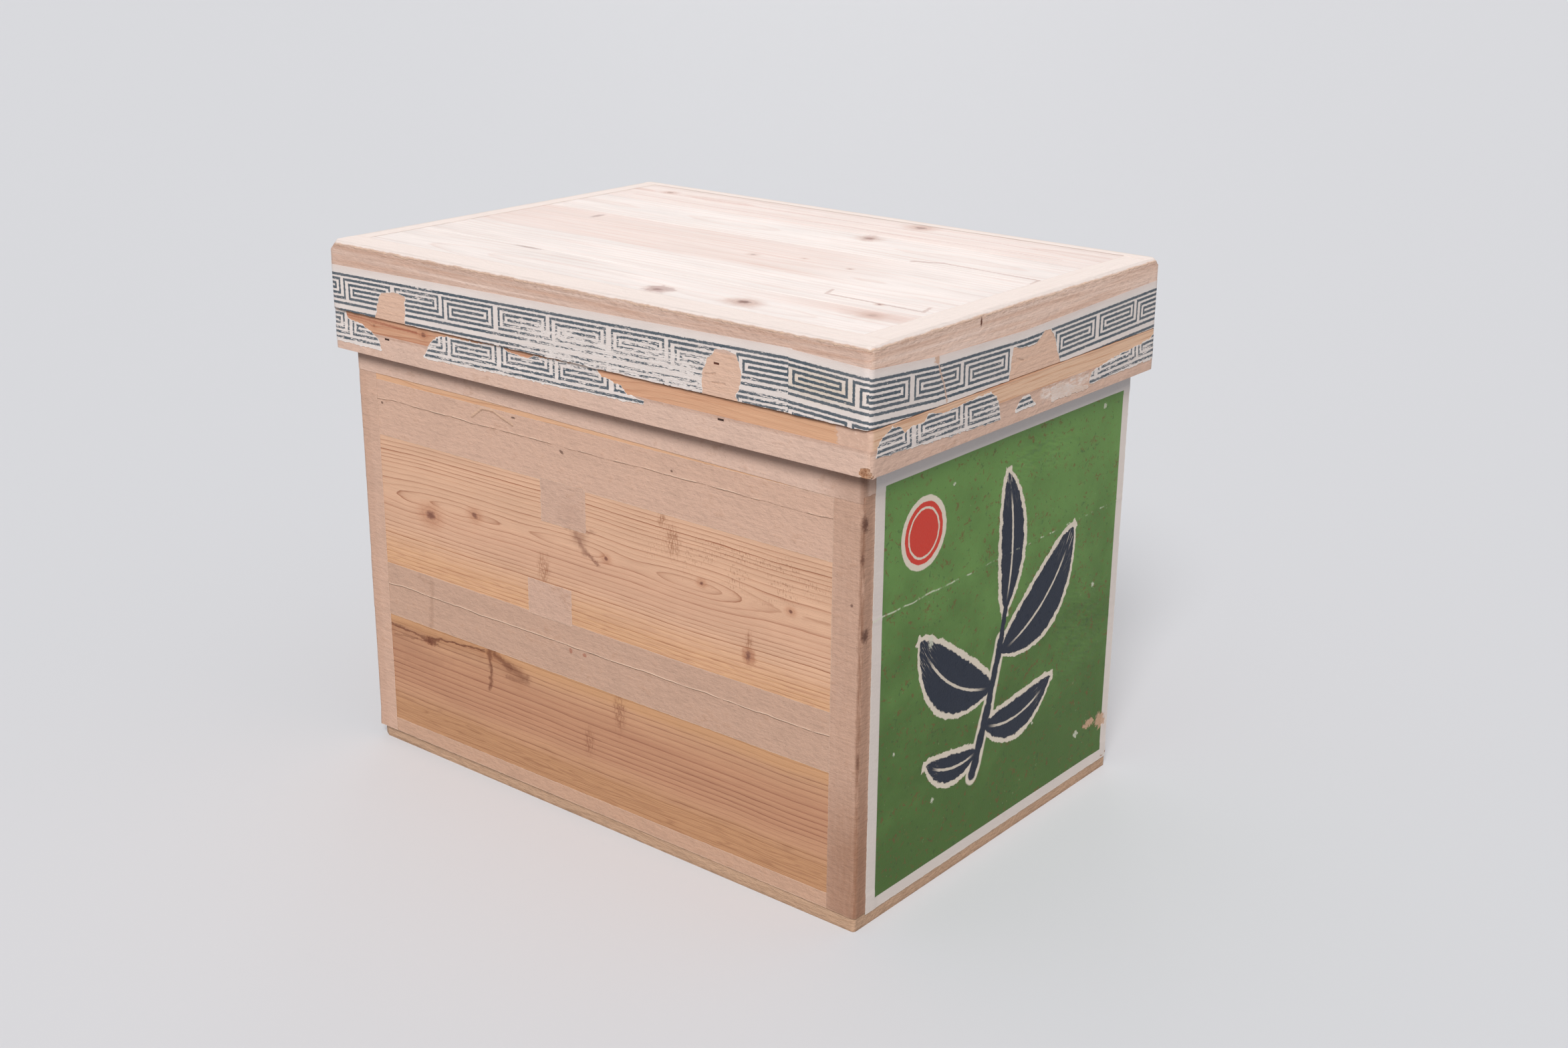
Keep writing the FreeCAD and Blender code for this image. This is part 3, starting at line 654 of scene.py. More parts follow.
def stained_tape(paper, tone, height):
    """The middle tape: its crease, a faint streak down it on the left, and two red spots."""
    tone, height = crease_marks(middle_joint, 0.6)(paper, tone, height)
    u, v = paper.u, paper.v
    streak = paper.stroke(u + paper.noise(u / 9, v / 9, 3) * 1.2, v, (-201, 178), (-205, 134), 2.4, 0.7, 0.8)
    streak = streak.high(paper.stroke(u, v, (-218, 180), (-200, 177), 1.6, 0.8, 0.8))
    red = paper.blots(u, v, (1, (-23.5, 160), (1.8, 2.4)), (1, (-7, 160), (2.2, 1.8)))
    return paper.layers(tone, (streak * 0.22, (134, 98, 76)), (red * 0.6, (160, 90, 68))), height


def fold_line(paper, a, b):
    """A small curved fold that stands proud of the upper tape."""
    bend = paper.path(a, b, [(-124, 359.5), (-110, 360), (-96, 355), (-86, 352)], 0.9, 0.3, 0.7)
    return bend.high(paper.stroke(a, b, (-137, 350), (-124, 359.5), 1, 0.3, 0.7))


def spotted_tape(paper, tone, height):
    """The upper tape: its crease, a curved fold and its shadow, two dots, a slanted nick,
    and a staple's mark."""
    tone, height = crease_marks(upper_joint)(paper, tone, height)
    u, v = paper.u, paper.v
    dots = paper.blots(u, v, (1, (-256, 340), (1.4, 1.2)), (1, (-28, 339), (2.6, 1.3), 0.25, 0.3, -0.5),
                       (1, (-85, 358), (2.6, 0.8)), (1, (96, 348), (1.2, 1)))
    tone = paper.layers(tone, (fold_line(paper, u, v + 1.2) * 0.5, (120, 84, 64)),
                        (fold_line(paper, u, v) * 0.7, (222, 184, 156)), (dots * 0.75, (92, 66, 54)))
    return tone, height - dots


def smudged(paper, tone, height):
    """The patches: fingered dark near one end, with a few wrinkles."""
    u, v = paper.u, paper.v
    smudge = paper.blots(u, v, (1, (-20, 284), (11, 11), 0.5, 1), (0.6, (-31, 207), (8, 7), 0.5, 1))
    wrinkle = abs(paper.noise(u / 14, v / 9, 15, 3, 0.6)).over(0.09, 0)
    tone = paper.layers(tone, (wrinkle * 0.15, (226, 192, 168)), (smudge * 0.12, (136, 92, 74)))
    return tone, height + wrinkle * 0.3


def worn_corner(paper, tone, height):
    """The upright edge of a corner tape, rubbed to a brown line, with rust spots and small torn flakes."""
    u, v, x = paper.u, paper.v, paper.x
    edge = abs(u + paper.noise(v / 12, 0, 3, 3) * 0.8)
    rubbed = paper.noise(v / 26, u / 4, 8, 4, 0.7)
    near = x.over(0, 10) * 0.75 + 0.25
    grime = x.over(200, 280) * (rubbed * 0.1 + 0.22 + v.over(150, 60) * 0.46)
    rust = paper.blots(u, v, (1, (2.5, 345), (3, 5.5), 0.5, 0.7), (1, (5, 255), (3.6, 5), 0.5, 0.7),
                       (0.7, (0.5, 318), (2, 4), 0.5, 0.7), (0.8, (-9, 279), (1.3, 1.3)),
                       (0.6, (0, 150), (1.6, 6), 0.6, 0.8))
    flake = edge.over(10, 2) * paper.noise(v / 4, u / 3, 9, 4, 0.7).over(0.7, 1)
    tone = paper.layers(
        tone, (edge.over(4, 0.8) * rubbed.over(-1.2, 0.4) * near * 0.68, (104, 66, 46)),
        ((u - 7 + rubbed * 2).between(-6, 5, 3) * near * 0.35, (140, 94, 68)),
        (grime.clipped(), (146, 104, 80)),
        (rust * x.over(0, 10) * paper.y.over(0, -10) * 0.8, (78, 46, 38)), (flake * 0.6, (228, 198, 172)))
    return tone, height + flake * 1.5


paper_thick, paper_low, tape_top = 0.13, 12.2, 386.3
tape_layer, bend_width = 0.2, 1.3
wall_half = box_sides(287.0, 197.5)
kraft_brown, dim_brown = (207, 170, 149), (194, 158, 137)
front_tapes = {"_upper": (upper_joint, 309.5, 361.5), "_middle": (middle_joint, 133.0, 185.0)}
tapes_of = {"front": front_tapes, "back": front_tapes, "left": {"": (left_joint, 239.0, 291.0)}, "right": {}}
own_marks = {"front_upper": spotted_tape, "front_middle": stained_tape}
base_tape_top = 26.0

for side, tapes in tapes_of.items():
    half_along, out = wall_half[side]
    reach = half_along - 2
    for number, (level_name, (joint, bottom, top)) in enumerate(tapes.items()):
        name = side + level_name
        piece, u, v = cut_paper(f"paper_joint_{name}", (-reach, bottom), (reach, top), (3.0, 1.6),
                                seed=10 + number + len(side), rows=(joint,))
        wave = joint + 0.9 * ripple(u, u * 0, 60.0, 31)
        ridge = (0.26 * np.exp(-((v - wave) / bend_width) ** 2)
                 * np.clip(0.6 + 0.7 * ripple(u, u * 0, 24.0, 33), 0, 1.3))
        lift = 0.03 + ridge + 0.06 * (1 + ripple(u, v, 14.0, 32)) / 2
        finish = kraft(name, dim_brown if level_name == "_middle" else kraft_brown,
                       marks=own_marks.get(name, crease_marks(joint)))
        paste(piece, on_side(side, u, out + lift, v), paper_thick, finish, "crate", f"joint_tape_{name}")
    piece, u, v = cut_paper(f"paper_base_{side}", (-reach, paper_low), (reach, base_tape_top), (3.0, 1.4),
                            seed=20 + len(side))
    lift = 0.04 + 0.08 * (1 + ripple(u, v, 12.0, 35)) / 2
    paste(piece, on_side(side, u, out + lift, v), paper_thick, kraft(f"base_{side}", (196, 157, 133)),
          "crate", f"base_tape_{side}")

for level_name, low, high in (("upper", (-54.5, 272.5), (-1.5, 311.5)),
                              ("middle", (-74.0, 183.0), (-21.0, 216.0))):
    piece, u, v = cut_paper(f"paper_patch_{level_name}", low, high, (1.6, 1.6), fray=0.3, seed=40)
    over_tape = np.clip((v - 307.5) / 3 if level_name == "upper" else (187 - v) / 3, 0, 1)
    lift = 0.05 + tape_layer * over_tape + 0.08 * (1 + ripple(u, v, 12.0, 41)) / 2
    finish = kraft(f"patch_{level_name}", (202, 166, 146), dirt=1.2, marks=smudged)
    paste(piece, on_side("front", u, wall_half["front"][1] + lift, v), paper_thick, finish, "crate",
          f"paper_patch_{level_name}")

corner_finish = kraft("corner", (204, 167, 146), dirt=1.1, marks=worn_corner)
corners = {"front_right": ("front", 28.0, "right"), "back_right": ("right", 25.0, "back"),
           "back_left": ("back", 25.0, "left"), "front_left": ("left", 25.0, "front")}
for corner, (side, before, next_side) in corners.items():
    half = wall_half[side]
    piece, u, v = cut_paper(f"paper_corner_{corner}", (-before, paper_low), (25.0, tape_top), (1.3, 2.6),
                            seed=50 + len(corner))
    under = np.zeros(len(u))
    for face, on_face in ((side, u < 0), (next_side, u >= 0)):
        for joint, bottom, top in (*tapes_of[face].values(), (None, 0.0, base_tape_top)):
            step = np.clip((v - bottom) / 1.5 + 0.5, 0, 1) * np.clip((top - v) / 1.5 + 0.5, 0, 1)
            ridge = 0.3 * np.exp(-((v - joint) / bend_width) ** 2) if joint else 0
            under = np.where(on_face, np.maximum(under, tape_layer * step + ridge), under)
    near_foot, near_edge = np.exp(-((v - 12) / 9) ** 2), np.clip((13 - abs(u)) / 3, 0, 1)
    crumple = 0.5 * near_foot * np.clip(ripple(u, v, 7.0, 52), 0, 1) * near_edge
    lift = 0.05 + under + 0.06 * (1 + ripple(u, v, 15.0, 51)) / 2 + crumple
    paste(piece, round_corner(side, half[0] + u, v, half, 3.0, lift), paper_thick, corner_finish, "crate",
          f"corner_tape_{corner}")


# The collar: four battens nailed round the walls, which carry the lid's skirt. A wide
# strip of kraft runs from the wall, under the battens and up their faces, and leaves
# their upper half bare and orange. It has worn through at the front right corner.
def collar_scars(wood, colour, height):
    """Red-brown streaks in the batten's bare wood, a painted shadow line under the lid, crumbled wood at the
    worn corner, and the kraft that covers the wood's front at that corner."""
    x, y, z = wood.x, wood.y, wood.z
    front, right = y.over(-200, -205), x.over(297, 299)
    streak = wood.noise((x + y) / 110, z / 2.2, 3, 4, 0.65)
    vein = wood.stroke(x, z + streak * 0.8, (-284, 419.5), (-190, 417.5), 1.1, 0.4, 1) * front
    crumbs = wood.noise(x / 2, y / 2, z / 1.5, 3, 0.7)
    corner = ((x - 299) * (x - 299) + (y + 208) * (y + 208) + (z - 391) * (z - 391)) ** 0.5
    ragged = wood.noise(x / 5, z / 4, 5, 4, 0.7)
    cover = (x + z * 0.25 + ragged * 4.5).over(372, 375) * y.over(-205, -208) * corner.over(9, 14)
    stained = wood.shade((212, 176, 156), 1 + ragged * 0.09 + crumbs * 0.05)
    colour = wood.layers(
        colour, (streak.over(0.1, 0.8) * 0.55, (178, 110, 80)),
        (streak.over(-0.2, -0.9) * 0.5, (232, 194, 160)),
        (x.over(-60, 260) * front * 0.5, (226, 178, 140)),
        (right * 0.7, wood.mix(streak.over(-0.1, 0.7), (236, 200, 170), (206, 158, 124))),
        (vein * 0.6, (146, 70, 48)),
        (corner.over(14, 9) * (crumbs * 0.5 + 0.6).low(1).high(0.2), (122, 76, 50)),
        (cover * 0.9, wood.mix(ragged.over(0.3, 0.9) * 0.5, stained, (240, 216, 198))),
        # Painted shadow: a dark line along the batten's top, under the lid's edge.
        (z.over(420.5, 422.6) * 0.4, (120, 74, 52)))
    return colour, height * (1 - cover) + cover * ragged * 0.6


def board_round(side, sides):
    """The axes of a board that lies along one side of a box, and the place of its face."""
    out = sides[side][1]
    return "xzy" if side in ("front", "back") else "yzx", -out if side in ("front", "left") else out


collar_half = box_sides(301.0, 209.5)
for side in collar_half:
    axes, face = board_round(side, collar_half)
    cedar(f"collar_{side}", axes, (400, 18), face, (214, 162, 130), (162, 98, 70), 3.4, face * 0.3,
          contrast=0.7, extra=collar_scars,
          knots=[(-181, 417, 2.6, 0.75), (-246, 415, 1.6, 0.5)] if side == "front" else [])


def staple_slot(paper, x, z, reach):
    """The dark slot that a staple has left in the paper on the front."""
    outside = (abs(paper.x - x) - reach).high(abs(paper.z - z) - 0.8)
    return outside.over(0.25, -0.25) * paper.y.over(-200, -205)


def collar_marks(paper, tone, height):
    """Pale scratches along the collar's paper, a painted shade on the wall under the batten, dark at the
    front right corner, brown fibres at its upper edge, a pale residue on the right, and two staple slots."""
    u, v, x, y, z = paper.u, paper.v, paper.x, paper.y, paper.z
    scratch = paper.noise(u / 10, v / 0.8, 11, 4, 0.7).over(0.75, 1.1)
    grime = paper.noise(u / 7, v / 3, 13, 4, 0.7).over(0.9, 1.4)
    front_wall_part = v.over(20.5, 20) * y.over(-190, -196)
    frayed = (z + scratch - 407).between(-1.4, 1, 0.8) * (grime * 0.5 + 0.5)
    patchy = paper.noise(u / 9, v / 3, 15, 4, 0.7).over(-0.6, 0.6)
    residue = paper.stroke(y, z, (28, 400), (92, 403), 5, 0.8, 0.9) * patchy * x.over(295, 299)
    slots = staple_slot(paper, -229.3, 405.2, 3).high(staple_slot(paper, 158.2, 405.2, 3))
    tone = paper.layers(
        tone, (scratch * 0.6, (238, 214, 196)), (grime * 0.5, (142, 100, 80)),
        # Painted shade: the wall part under the batten grows darker towards the inner corner.
        (v.between(0, 20.5, 0.2) * v.over(6, 19) * 0.45, (120, 94, 84)),
        (x.over(240, 275) * front_wall_part * 0.36, (150, 108, 84)),
        ((x + scratch).over(282, 286) * front_wall_part * 0.45, (104, 66, 46)),
        (x.over(297, 299) * 0.12, (190, 146, 118)), (frayed * 0.5, (150, 104, 78)),
        (residue * 0.7, (240, 228, 220)),
        (slots, (62, 42, 36)))
    return tone, height + scratch - slots * 2


collar_base, collar_paper_top, collar_paper_bottom = 387.0, 408.0, 367.0
collar_finish = kraft("collar", (214, 181, 163), streaks=0.03, marks=collar_marks)
for side, (half_along, out) in collar_half.items():
    wall_along, wall_out = wall_half[side]
    ledge, fold = out - wall_out, collar_base - collar_paper_bottom
    lip = fold + ledge
    length = lip + collar_paper_top - collar_base
    holes = {"front": [[(290.5, lip + 1), (292, lip + 6.5), (297, lip + 8), (304, lip + 5), (304, lip - 3),
                        (294, lip - 2)]],
             "right": [[(-212, lip - 3), (-208.5, lip - 1), (-207.5, lip + 4), (-212, lip + 6)]]
             }.get(side, ())
    piece, u, v = cut_paper(f"paper_collar_{side}", (-half_along, 0.0), (half_along, length), (2.6, 1.25),
                            fray=0.15, tear=0.6, holes=holes, seed=60 + len(side), rows=(fold, lip))
    along_strip = [0, fold, lip, length]
    span = np.interp(v, along_strip, [0, 0, ledge, ledge])
    z = np.interp(v, along_strip, [collar_paper_bottom, collar_base, collar_base, collar_paper_top])
    if side == "front":
        z = z - 5.2 * np.clip((u + 140) / 390, 0, 1) * np.clip(1 - v / fold, 0, 1)
    lift = 0.1 + 0.08 * (1 + ripple(u, v, 18.0, 61)) / 2
    over_corner = np.clip((abs(u) * wall_along / half_along - wall_along + 26.5) / 2, 0, 1)
    lift_on_wall = lift - 0.05 + tape_layer * over_corner if side == "right" else lift + 0.26
    lift = np.where(v < fold + 0.01, lift_on_wall, lift)
    z = z - np.where((v > fold - 0.01) & (v < lip + 0.01), 0.15, 0.0)
    along = u / half_along * (wall_along + (half_along - wall_along) * span / ledge)
    place = np.empty((len(u), 3))
    for flat in np.unique(np.round(span, 3)):
        row = np.round(span, 3) == flat
        half = (wall_along + (half_along - wall_along) * flat / ledge, wall_out + flat)
        place[row] = round_corner(side, along[row], z[row], half, 3.0 + flat / ledge, lift[row])
    if side in ("front", "right"):
        worn_end = half_along if side == "front" else -half_along
        place[:, 2] += 0.35 * np.exp(-((u - worn_end) / 14) ** 2) * ripple(u, v, 6.0, 62) * (z < 400)
    paste(piece, place, paper_thick, collar_finish, "crate", f"collar_tape_{side}")


# The label: one printed sheet pasted over the right end, green with a plain white
# border. It shows a brushed sprig of five leaves and a red sun. The board joint has
# cracked it across, glue has wrinkled it, and the far lower corner is torn.
def crack_level(along):
    """The height of the crack over the board joint."""
    return 263.5 + (along + 184) * 0.0113


def label_paper():
    """The print, its wear and its wrinkles, by place on the end, with painted light on the border's top under
    the collar.
    """
    paper = Finish("label_print", roughness=0.6, sheet=True)
    y, z, noise = paper.u, paper.v, paper.noise
    brush = noise(y / 7, z / 7, 1, 4, 0.65)

    def leaf(root, tip, half_width, bend):
        """A brushed leaf, the pale outline round it, and its rib."""
        length = math.dist(root, tip)
        cy, cz = (tip[0] - root[0]) / length, (tip[1] - root[1]) / length
        share = ((y - root[0]) * cy + (z - root[1]) * cz) / length
        hump = (share * (1 - share) * 4).high(0)
        aside = abs((z - root[1]) * cy - (y - root[0]) * cz - hump * bend)
        past = (abs(share - 0.5) - 0.5) * length
        dry = noise(share * 6, aside / 1.6, root[0], 3, 0.7).over(0.25, 0.6) * share.over(0.72, 1)
        reach = (aside - hump ** 0.75 * half_width).high(past) + brush * 1.6
        rib = (aside + brush * 0.5).over(1.5, 0.9) * share.between(0.14, 0.8, 0.08)
        return reach.over(0.6, -0.6) * (1 - dry), reach.over(5.4, 4.4), rib

    leaves, outlines, ribs = zip(*(leaf(*values) for values in (
        ((-8, 150), (-118, 226), 24, 16), ((2, 178), (112, 262), 27, -18), ((6, 214), (2, 338), 17, -9),
        ((-20, 118), (86, 128), 17, -14), ((-26, 98), (-104, 112), 12, 9))))
    foot, fork, bough, head = (-34, 78), (-14, 132), (2, 190), (8, 226)
    stem = paper.strokes(y, z, (1, foot, fork, 5.5, 0.25, 0.15), (1, fork, bough, 4.5, 0.25, 0.15),
                         (1, bough, head, 3.5, 0.25, 0.15))
    ink = stem.high(*leaves) * (1 - strongest(ribs) * 0.9)
    sun = ((y + 118) * (y + 118) + (z - 318) * (z - 318)) ** 0.5 + brush * 0.5
    red = sun.over(26, 25.2) * (1 - sun.between(19.4, 21.2, 0.35))
    outline = paper.strokes(y, z, (1, foot, fork, 9.5, 0.1, 0.1), (1, fork, bough, 8.5, 0.1, 0.1))
    outline = outline.high(*outlines, sun.over(31, 30))
    field = y.between(-171, 184.6, 0.25) * z.between(20.5, 369.6, 0.25)
    crowd = noise(y / 40, z / 34, 14, 3, 0.6)

    def flecks(size, place, share):
        """Short curved strokes scattered every way, like fibres on the print."""
        line = abs(noise(y / size, z / size, place)).over(0.16, 0.05)
        crowded = noise(y / size * 1.3, z / size * 1.3, place + 4) + crowd * 0.3
        return line * crowded.over(share, share + 0.25)

    speck = flecks(11, 2, 0.3).high(flecks(6, 8, 0.42))
    cloud = noise(y / 60, z / 50, 3, 4, 0.6)
    mottle = noise(y / 12, z / 8, 31, 4, 0.68).over(0.3, 1)
    green = paper.mix((z / 390 + cloud * 0.2).over(0.1, 1), (74, 102, 46), (102, 138, 72))
    green = paper.layers(
        paper.shade(green, 1 + cloud * 0.06), (mottle * 0.4, (116, 92, 54)), (speck * 0.65, (116, 80, 54)),
        (flecks(8, 5, 0.4) * 0.45, (52, 66, 42)), (flecks(6, 21, 0.75) * 0.4, (150, 160, 116)))
    # The cream grows lighter towards its top edge: painted light that thins the shade under the collar.
    cream = paper.layers(
        paper.shade((220, 207, 199), 1 + cloud * 0.03), (z.over(364, 376) * 0.6, (248, 244, 244)),
        (noise(y / 14, z / 14, 7, 5, 0.7).over(0.45, 1.2) * 0.3, (190, 172, 156)))
    crack = z - crack_level(y) + noise(y / 30, 0, 4, 3) * 1.4
    broken = noise(y / 14, 0, 6, 4, 0.7) + (y + 20).over(0, -120) * 0.5
    scuffs = paper.blots(
        y, z, (1, (-103, 222), (3, 5), 0.7), (1, (154, 362), (2.6, 2.2), 0.7),
        (1, (138, 53), (3.4, 3.4), 0.7),
        (1, (-93, 77), (2, 2), 0.7), (1, (-78, 348), (1.6, 1.4), 0.7), (1, (152, 196), (2, 2.4), 0.7),
        (1, (-150, 140), (1.3, 1.6), 0.7), (1, (60, 92), (1.4, 1.2), 0.7))
    graze = noise(y / 9, z / 1.6, 9, 5, 0.75).over(0.85, 1.1) * 0.5
    bare = paper.blots(y, z, (1, (161, 56), (9, 4), 0.6, 0.2), (1, (181, 52), (9, 7), 0.5, 0.2, -0.5))
    torn = paper.mix(noise(y / 3, z / 1.2, 10, 3) * 0.5 + 0.5, (186, 142, 112), (212, 176, 148))
    colour = paper.layers(
        paper.mix(field, cream, green), (outline * field, (222, 208, 190)),
        (ink.clipped(), paper.shade((32, 38, 52), 1 + brush * 0.12)), (red, (206, 64, 50)),
        (abs(crack).over(1, 0.3) * broken.over(0, 0.5) * 0.7, (214, 214, 190)),
        (scuffs.high(graze) * 0.8, (208, 206, 186)), (bare * 0.9, torn),
        ((paper.rim + brush * 0.5).over(1.3, 0.2) * 0.5, (232, 222, 210)))
    puckered = paper.blots(y, z, (1, (48, 345), (50, 18), 0.25, 0.9),
                           (1, (130, 160), (40, 40), 0.25, 0.9)).high(0.1)
    wrinkles = noise(y / 14, (z + y * 0.3) / 5, 11, 1) * puckered
    height = wrinkles * 1.1 + noise(y / 2, z / 2, 12, 3) * 0.12 - bare * 0.8
    return paper.paint(colour, height, 0.35, 0.5 + speck * 0.1 + (1 - field) * 0.15)


label_low, label_high = (-183.5, 10.2), (195.3, 382.3)
piece, u, v = cut_paper("paper_label", label_low, label_high, (2.6, 2.0), fray=0.15, seed=90)
crack_line = crack_level(u) + 0.7 * ripple(u, u * 0, 40.0, 91)
ridge = 0.3 * np.exp(-((v - crack_line) / 1.6) ** 2)
glued_ill = (np.exp(-((u - 48) / 45) ** 2 - ((v - 345) / 22) ** 2)
             + np.exp(-((u - 145) / 40) ** 2 - ((v - 150) / 50) ** 2))
glue_ripple = np.maximum(0.16 * ripple(u / 5.0, v, 7.0, 92) * glued_ill, -0.05)
over_corner = np.clip((abs(u) - 168.5) / 2, 0, 1)
over_tapes = np.maximum(np.clip((28.5 - v) / 2, 0, 1), np.clip((v - 364.5) / 2, 0, 1))
layers = tape_layer * np.maximum(over_corner, over_tapes) + 0.27 * over_corner * over_tapes
lift = 0.07 + layers + ridge + glue_ripple + 0.04 * (1 + ripple(u, v, 30.0, 93))
paste(piece, on_side("right", u, wall_half["right"][1] + lift, v), paper_thick, label_paper(), "crate",
      "end_label")


# The lid's top: four boards side by side, almost white, partly bleached and partly painted light,
# with pink streaks, dark knots and two dried lines of glue.
def top_marks(wood, colour, height):
    """Bands of pink along the boards, the two glue lines, a grey-brown stain and two dark slots."""
    x, y = wood.x, wood.y
    sway = y + wood.noise(x / 220, y / 40, 3) * 5
    streaky = wood.noise(x / 180, y / 3.5, 5, 4, 0.6)
    pinker = (sway.between(-50, 48, 5) * x.over(200, 60) * 0.8).high(
        sway.between(126, 212, 6) * 0.55,
        sway.between(-134, -115, 3) * x.over(40, 240)) * (streaky * 0.5 + 0.75)
    line = wood.strokes(x, sway, (1, (-280, 171), (200, 172), 1.4, 0.8, 1),
                        (1, (-260, 143), (240, 144), 1.2, 0.9, 1))
    glue = wood.stroke(x, y, (146, 57), (170, 67), 2.4).high(
        wood.path(x, y, [(170, 67), (269, 62), (272, 47)], 1.6, 0.5, 0.6),
        wood.path(x, y, [(162, -76), (167, -91), (263, -94), (259, -79)], 1.6, 0.5, 0.6))
    stain = wood.blot(x, y, (56, -167), (12, 11), 0.45)
    slot = wood.blots(x, y, (1, (-143, -117), (14, 2.4), 0.25, 0.7), (1, (-203, 32), (3, 8), 0.25, 0.7))
    flake = wood.blot(x, y, (57, 115), (6, 14), 0.4, 0.6, 0.4)
    bare = wood.blots(x, y, (1, (139, -163), (16, 9), 0.4, 0.9), (1, (240, -130), (22, 12), 0.4, 0.9))
    return wood.layers(
        colour, (pinker.clipped() * 0.7, (234, 204, 192)), (streaky.over(0.2, 0.9) * 0.4, (224, 188, 174)),
        (line * 0.35, (204, 158, 144)), ((glue * 0.4).high(flake * 0.3), (170, 116, 98)),
        (stain * 0.4, (156, 108, 102)), (bare * 0.3, (196, 156, 140)), (slot * 0.55, (146, 106, 100))), height


lid_top = 485.0
for board, middle, spacing, knots in (
        ("front", -160, 6.0, [(137, -157, 5.5, 0.9), (240, -128, 4, 0.9), (56, -168, 4.5, 0.6)]),
        ("middle", -30, 7.0, [(25, -11, 2.5, 0.6), (222, -95, 1.6, 0.8), (69, 5, 1.5, 0.6),
                              (125, -4, 1.5, 0.7)]),
        ("rear_middle", 90, 6.0, [(58, 114, 5, 0.6)]),
        ("back", 172, 6.0, [(64, 186, 5.5, 0.9), (-238, 174, 3.4, 0.8)])):
    # The top boards' near-white colour is partly bleached wood and partly painted light from above.
    cedar(f"lid_board_{board}", "xyz", (middle, 30), lid_top, (247, 235, 229), (220, 186, 172), spacing,
          middle * 0.31, contrast=0.5, unrest=0.7, knots=knots, extra=top_marks)


# The lid's skirt: four boards under the top boards, which fit down over the collar.
# Kraft covers them and laps onto the top, its corners knocked and rubbed through.
lid_half = box_sides(299.8, 211.3)
for side in lid_half:
    axes, face = board_round(side, lid_half)
    cedar(f"lid_skirt_{side}", axes, (450, 30), face, tan, tan_line, seed=face * 0.7)

bpy.ops.object.select_all(action="DESELECT")
for name, node in nodes.items():
    if name.startswith(("lid_board", "lid_skirt", "lid_nails")):
        node.select_set(True)
        bpy.context.view_layer.objects.active = node
bpy.ops.object.duplicate()
bpy.ops.object.join()
lid_form = bpy.context.object
lid_form.name = "lid_form"


def lid_marks(paper, tone, height):
    """The lid's kraft, streaked on the sides, almost white on top, partly bleached and partly painted light,
    with a painted shade on the rounded edge and a painted shadow band under it, and worn to pale fibres along
    the edge.
    """
    u, v, x, y, z = paper.u, paper.v, paper.x, paper.y, paper.z
    scuff = paper.noise(u / 7, v / 1.6, 8, 4, 0.75)
    edge = v + paper.noise(u / 14, v / 8, 4, 4, 0.65) * 1.3
    grain = paper.noise(u / 60, v / 1.8, 6, 4, 0.62)
    band = paper.noise(u / 150, v / 4.6, 16, 3, 0.55)
    # The second mask marks the rounded edge, whose colour is painted darker: a painted shade against the
    # lamp's highlight there.
    upright, painted_bevel_shade = edge.over(60.8, 59), edge.between(59, 66, 2.5)
    level = z + scuff * 0.5
    creased = paper.strokes(x, level, (1, (143.9, 439.6), (154.5, 441.4), 0.6, 0.5, 0.8),
                            (1, (151.3, 434.2), (164, 434.8), 0.6, 0.5, 0.8))
    creased = creased.high(paper.stroke(y, level, (-16, 439.4), (-5.2, 436), 0.6, 0.5, 0.8))
    under_seal = paper.shade((222, 183, 159), 1 + scuff * 0.04 + band * 0.03)
    tone = paper.layers(
        tone, (grain.over(0, 1) * 0.2 * upright, (182, 138, 114)),
        (band.over(-0.1, 0.7) * 0.45 * upright, (200, 156, 132)),
        (band.over(-0.1, -0.9) * 0.6 * upright, (238, 212, 198)),
        ((v + scuff * 0.6).over(36.5, 34.5) * 0.8, under_seal), (creased * 0.3, (172, 124, 96)))
    # The lap on top is almost white, partly bleached and partly painted light from above.
    top = paper.shade((246, 231, 223), grain * 0.03 + scuff * 0.02 + 1 - painted_bevel_shade * 0.16)
    top = paper.mix(band.over(0.1, 0.9) * 0.35, top, (234, 210, 199))
    fuzz = (edge + scuff * 0.9).between(59.2, 60.6, 0.35) * (scuff * 0.7 + 0.5).clipped()
    # Painted shadow: a dark band on the side just under the rounded edge.
    under = edge.between(56.8, 58.6, 0.6) * scuff.over(-0.3, 0.7)
    tear = paper.noise(u / 1.6, v / 6, 12, 3, 0.6).over(0.9, 1.2) * edge.between(50, 61, 3)
    slot = staple_slot(paper, 155.6, 449.5, 2.6)
    nail = paper.blot(y, z, (-69.2, 478.8), (1.2, 3.4), 0.3, 0.4) * x.over(285, 290)
    brink = (paper.rim + scuff * 0.3).between(0, 0.6, 0.4) * edge.over(62, 64)
    tone = paper.layers(
        # The rounded edge is painted darker here too, a painted shade.
        paper.shade(tone, 1 - painted_bevel_shade * 0.1), (edge.over(60.4, 62.2), top), (fuzz * 0.7, (234, 200, 170)),
        (under * 0.35, (172, 124, 92)), (tear * 0.5, (140, 96, 74)), (slot.high(nail), (96, 56, 44)),
        (brink * 0.2, (206, 172, 154)))
    rubbed = scuff * 0.8 * edge.between(55, 62, 2)
    return tone, height + rubbed + grain * 0.3 + fuzz - tear - creased - slot * 2


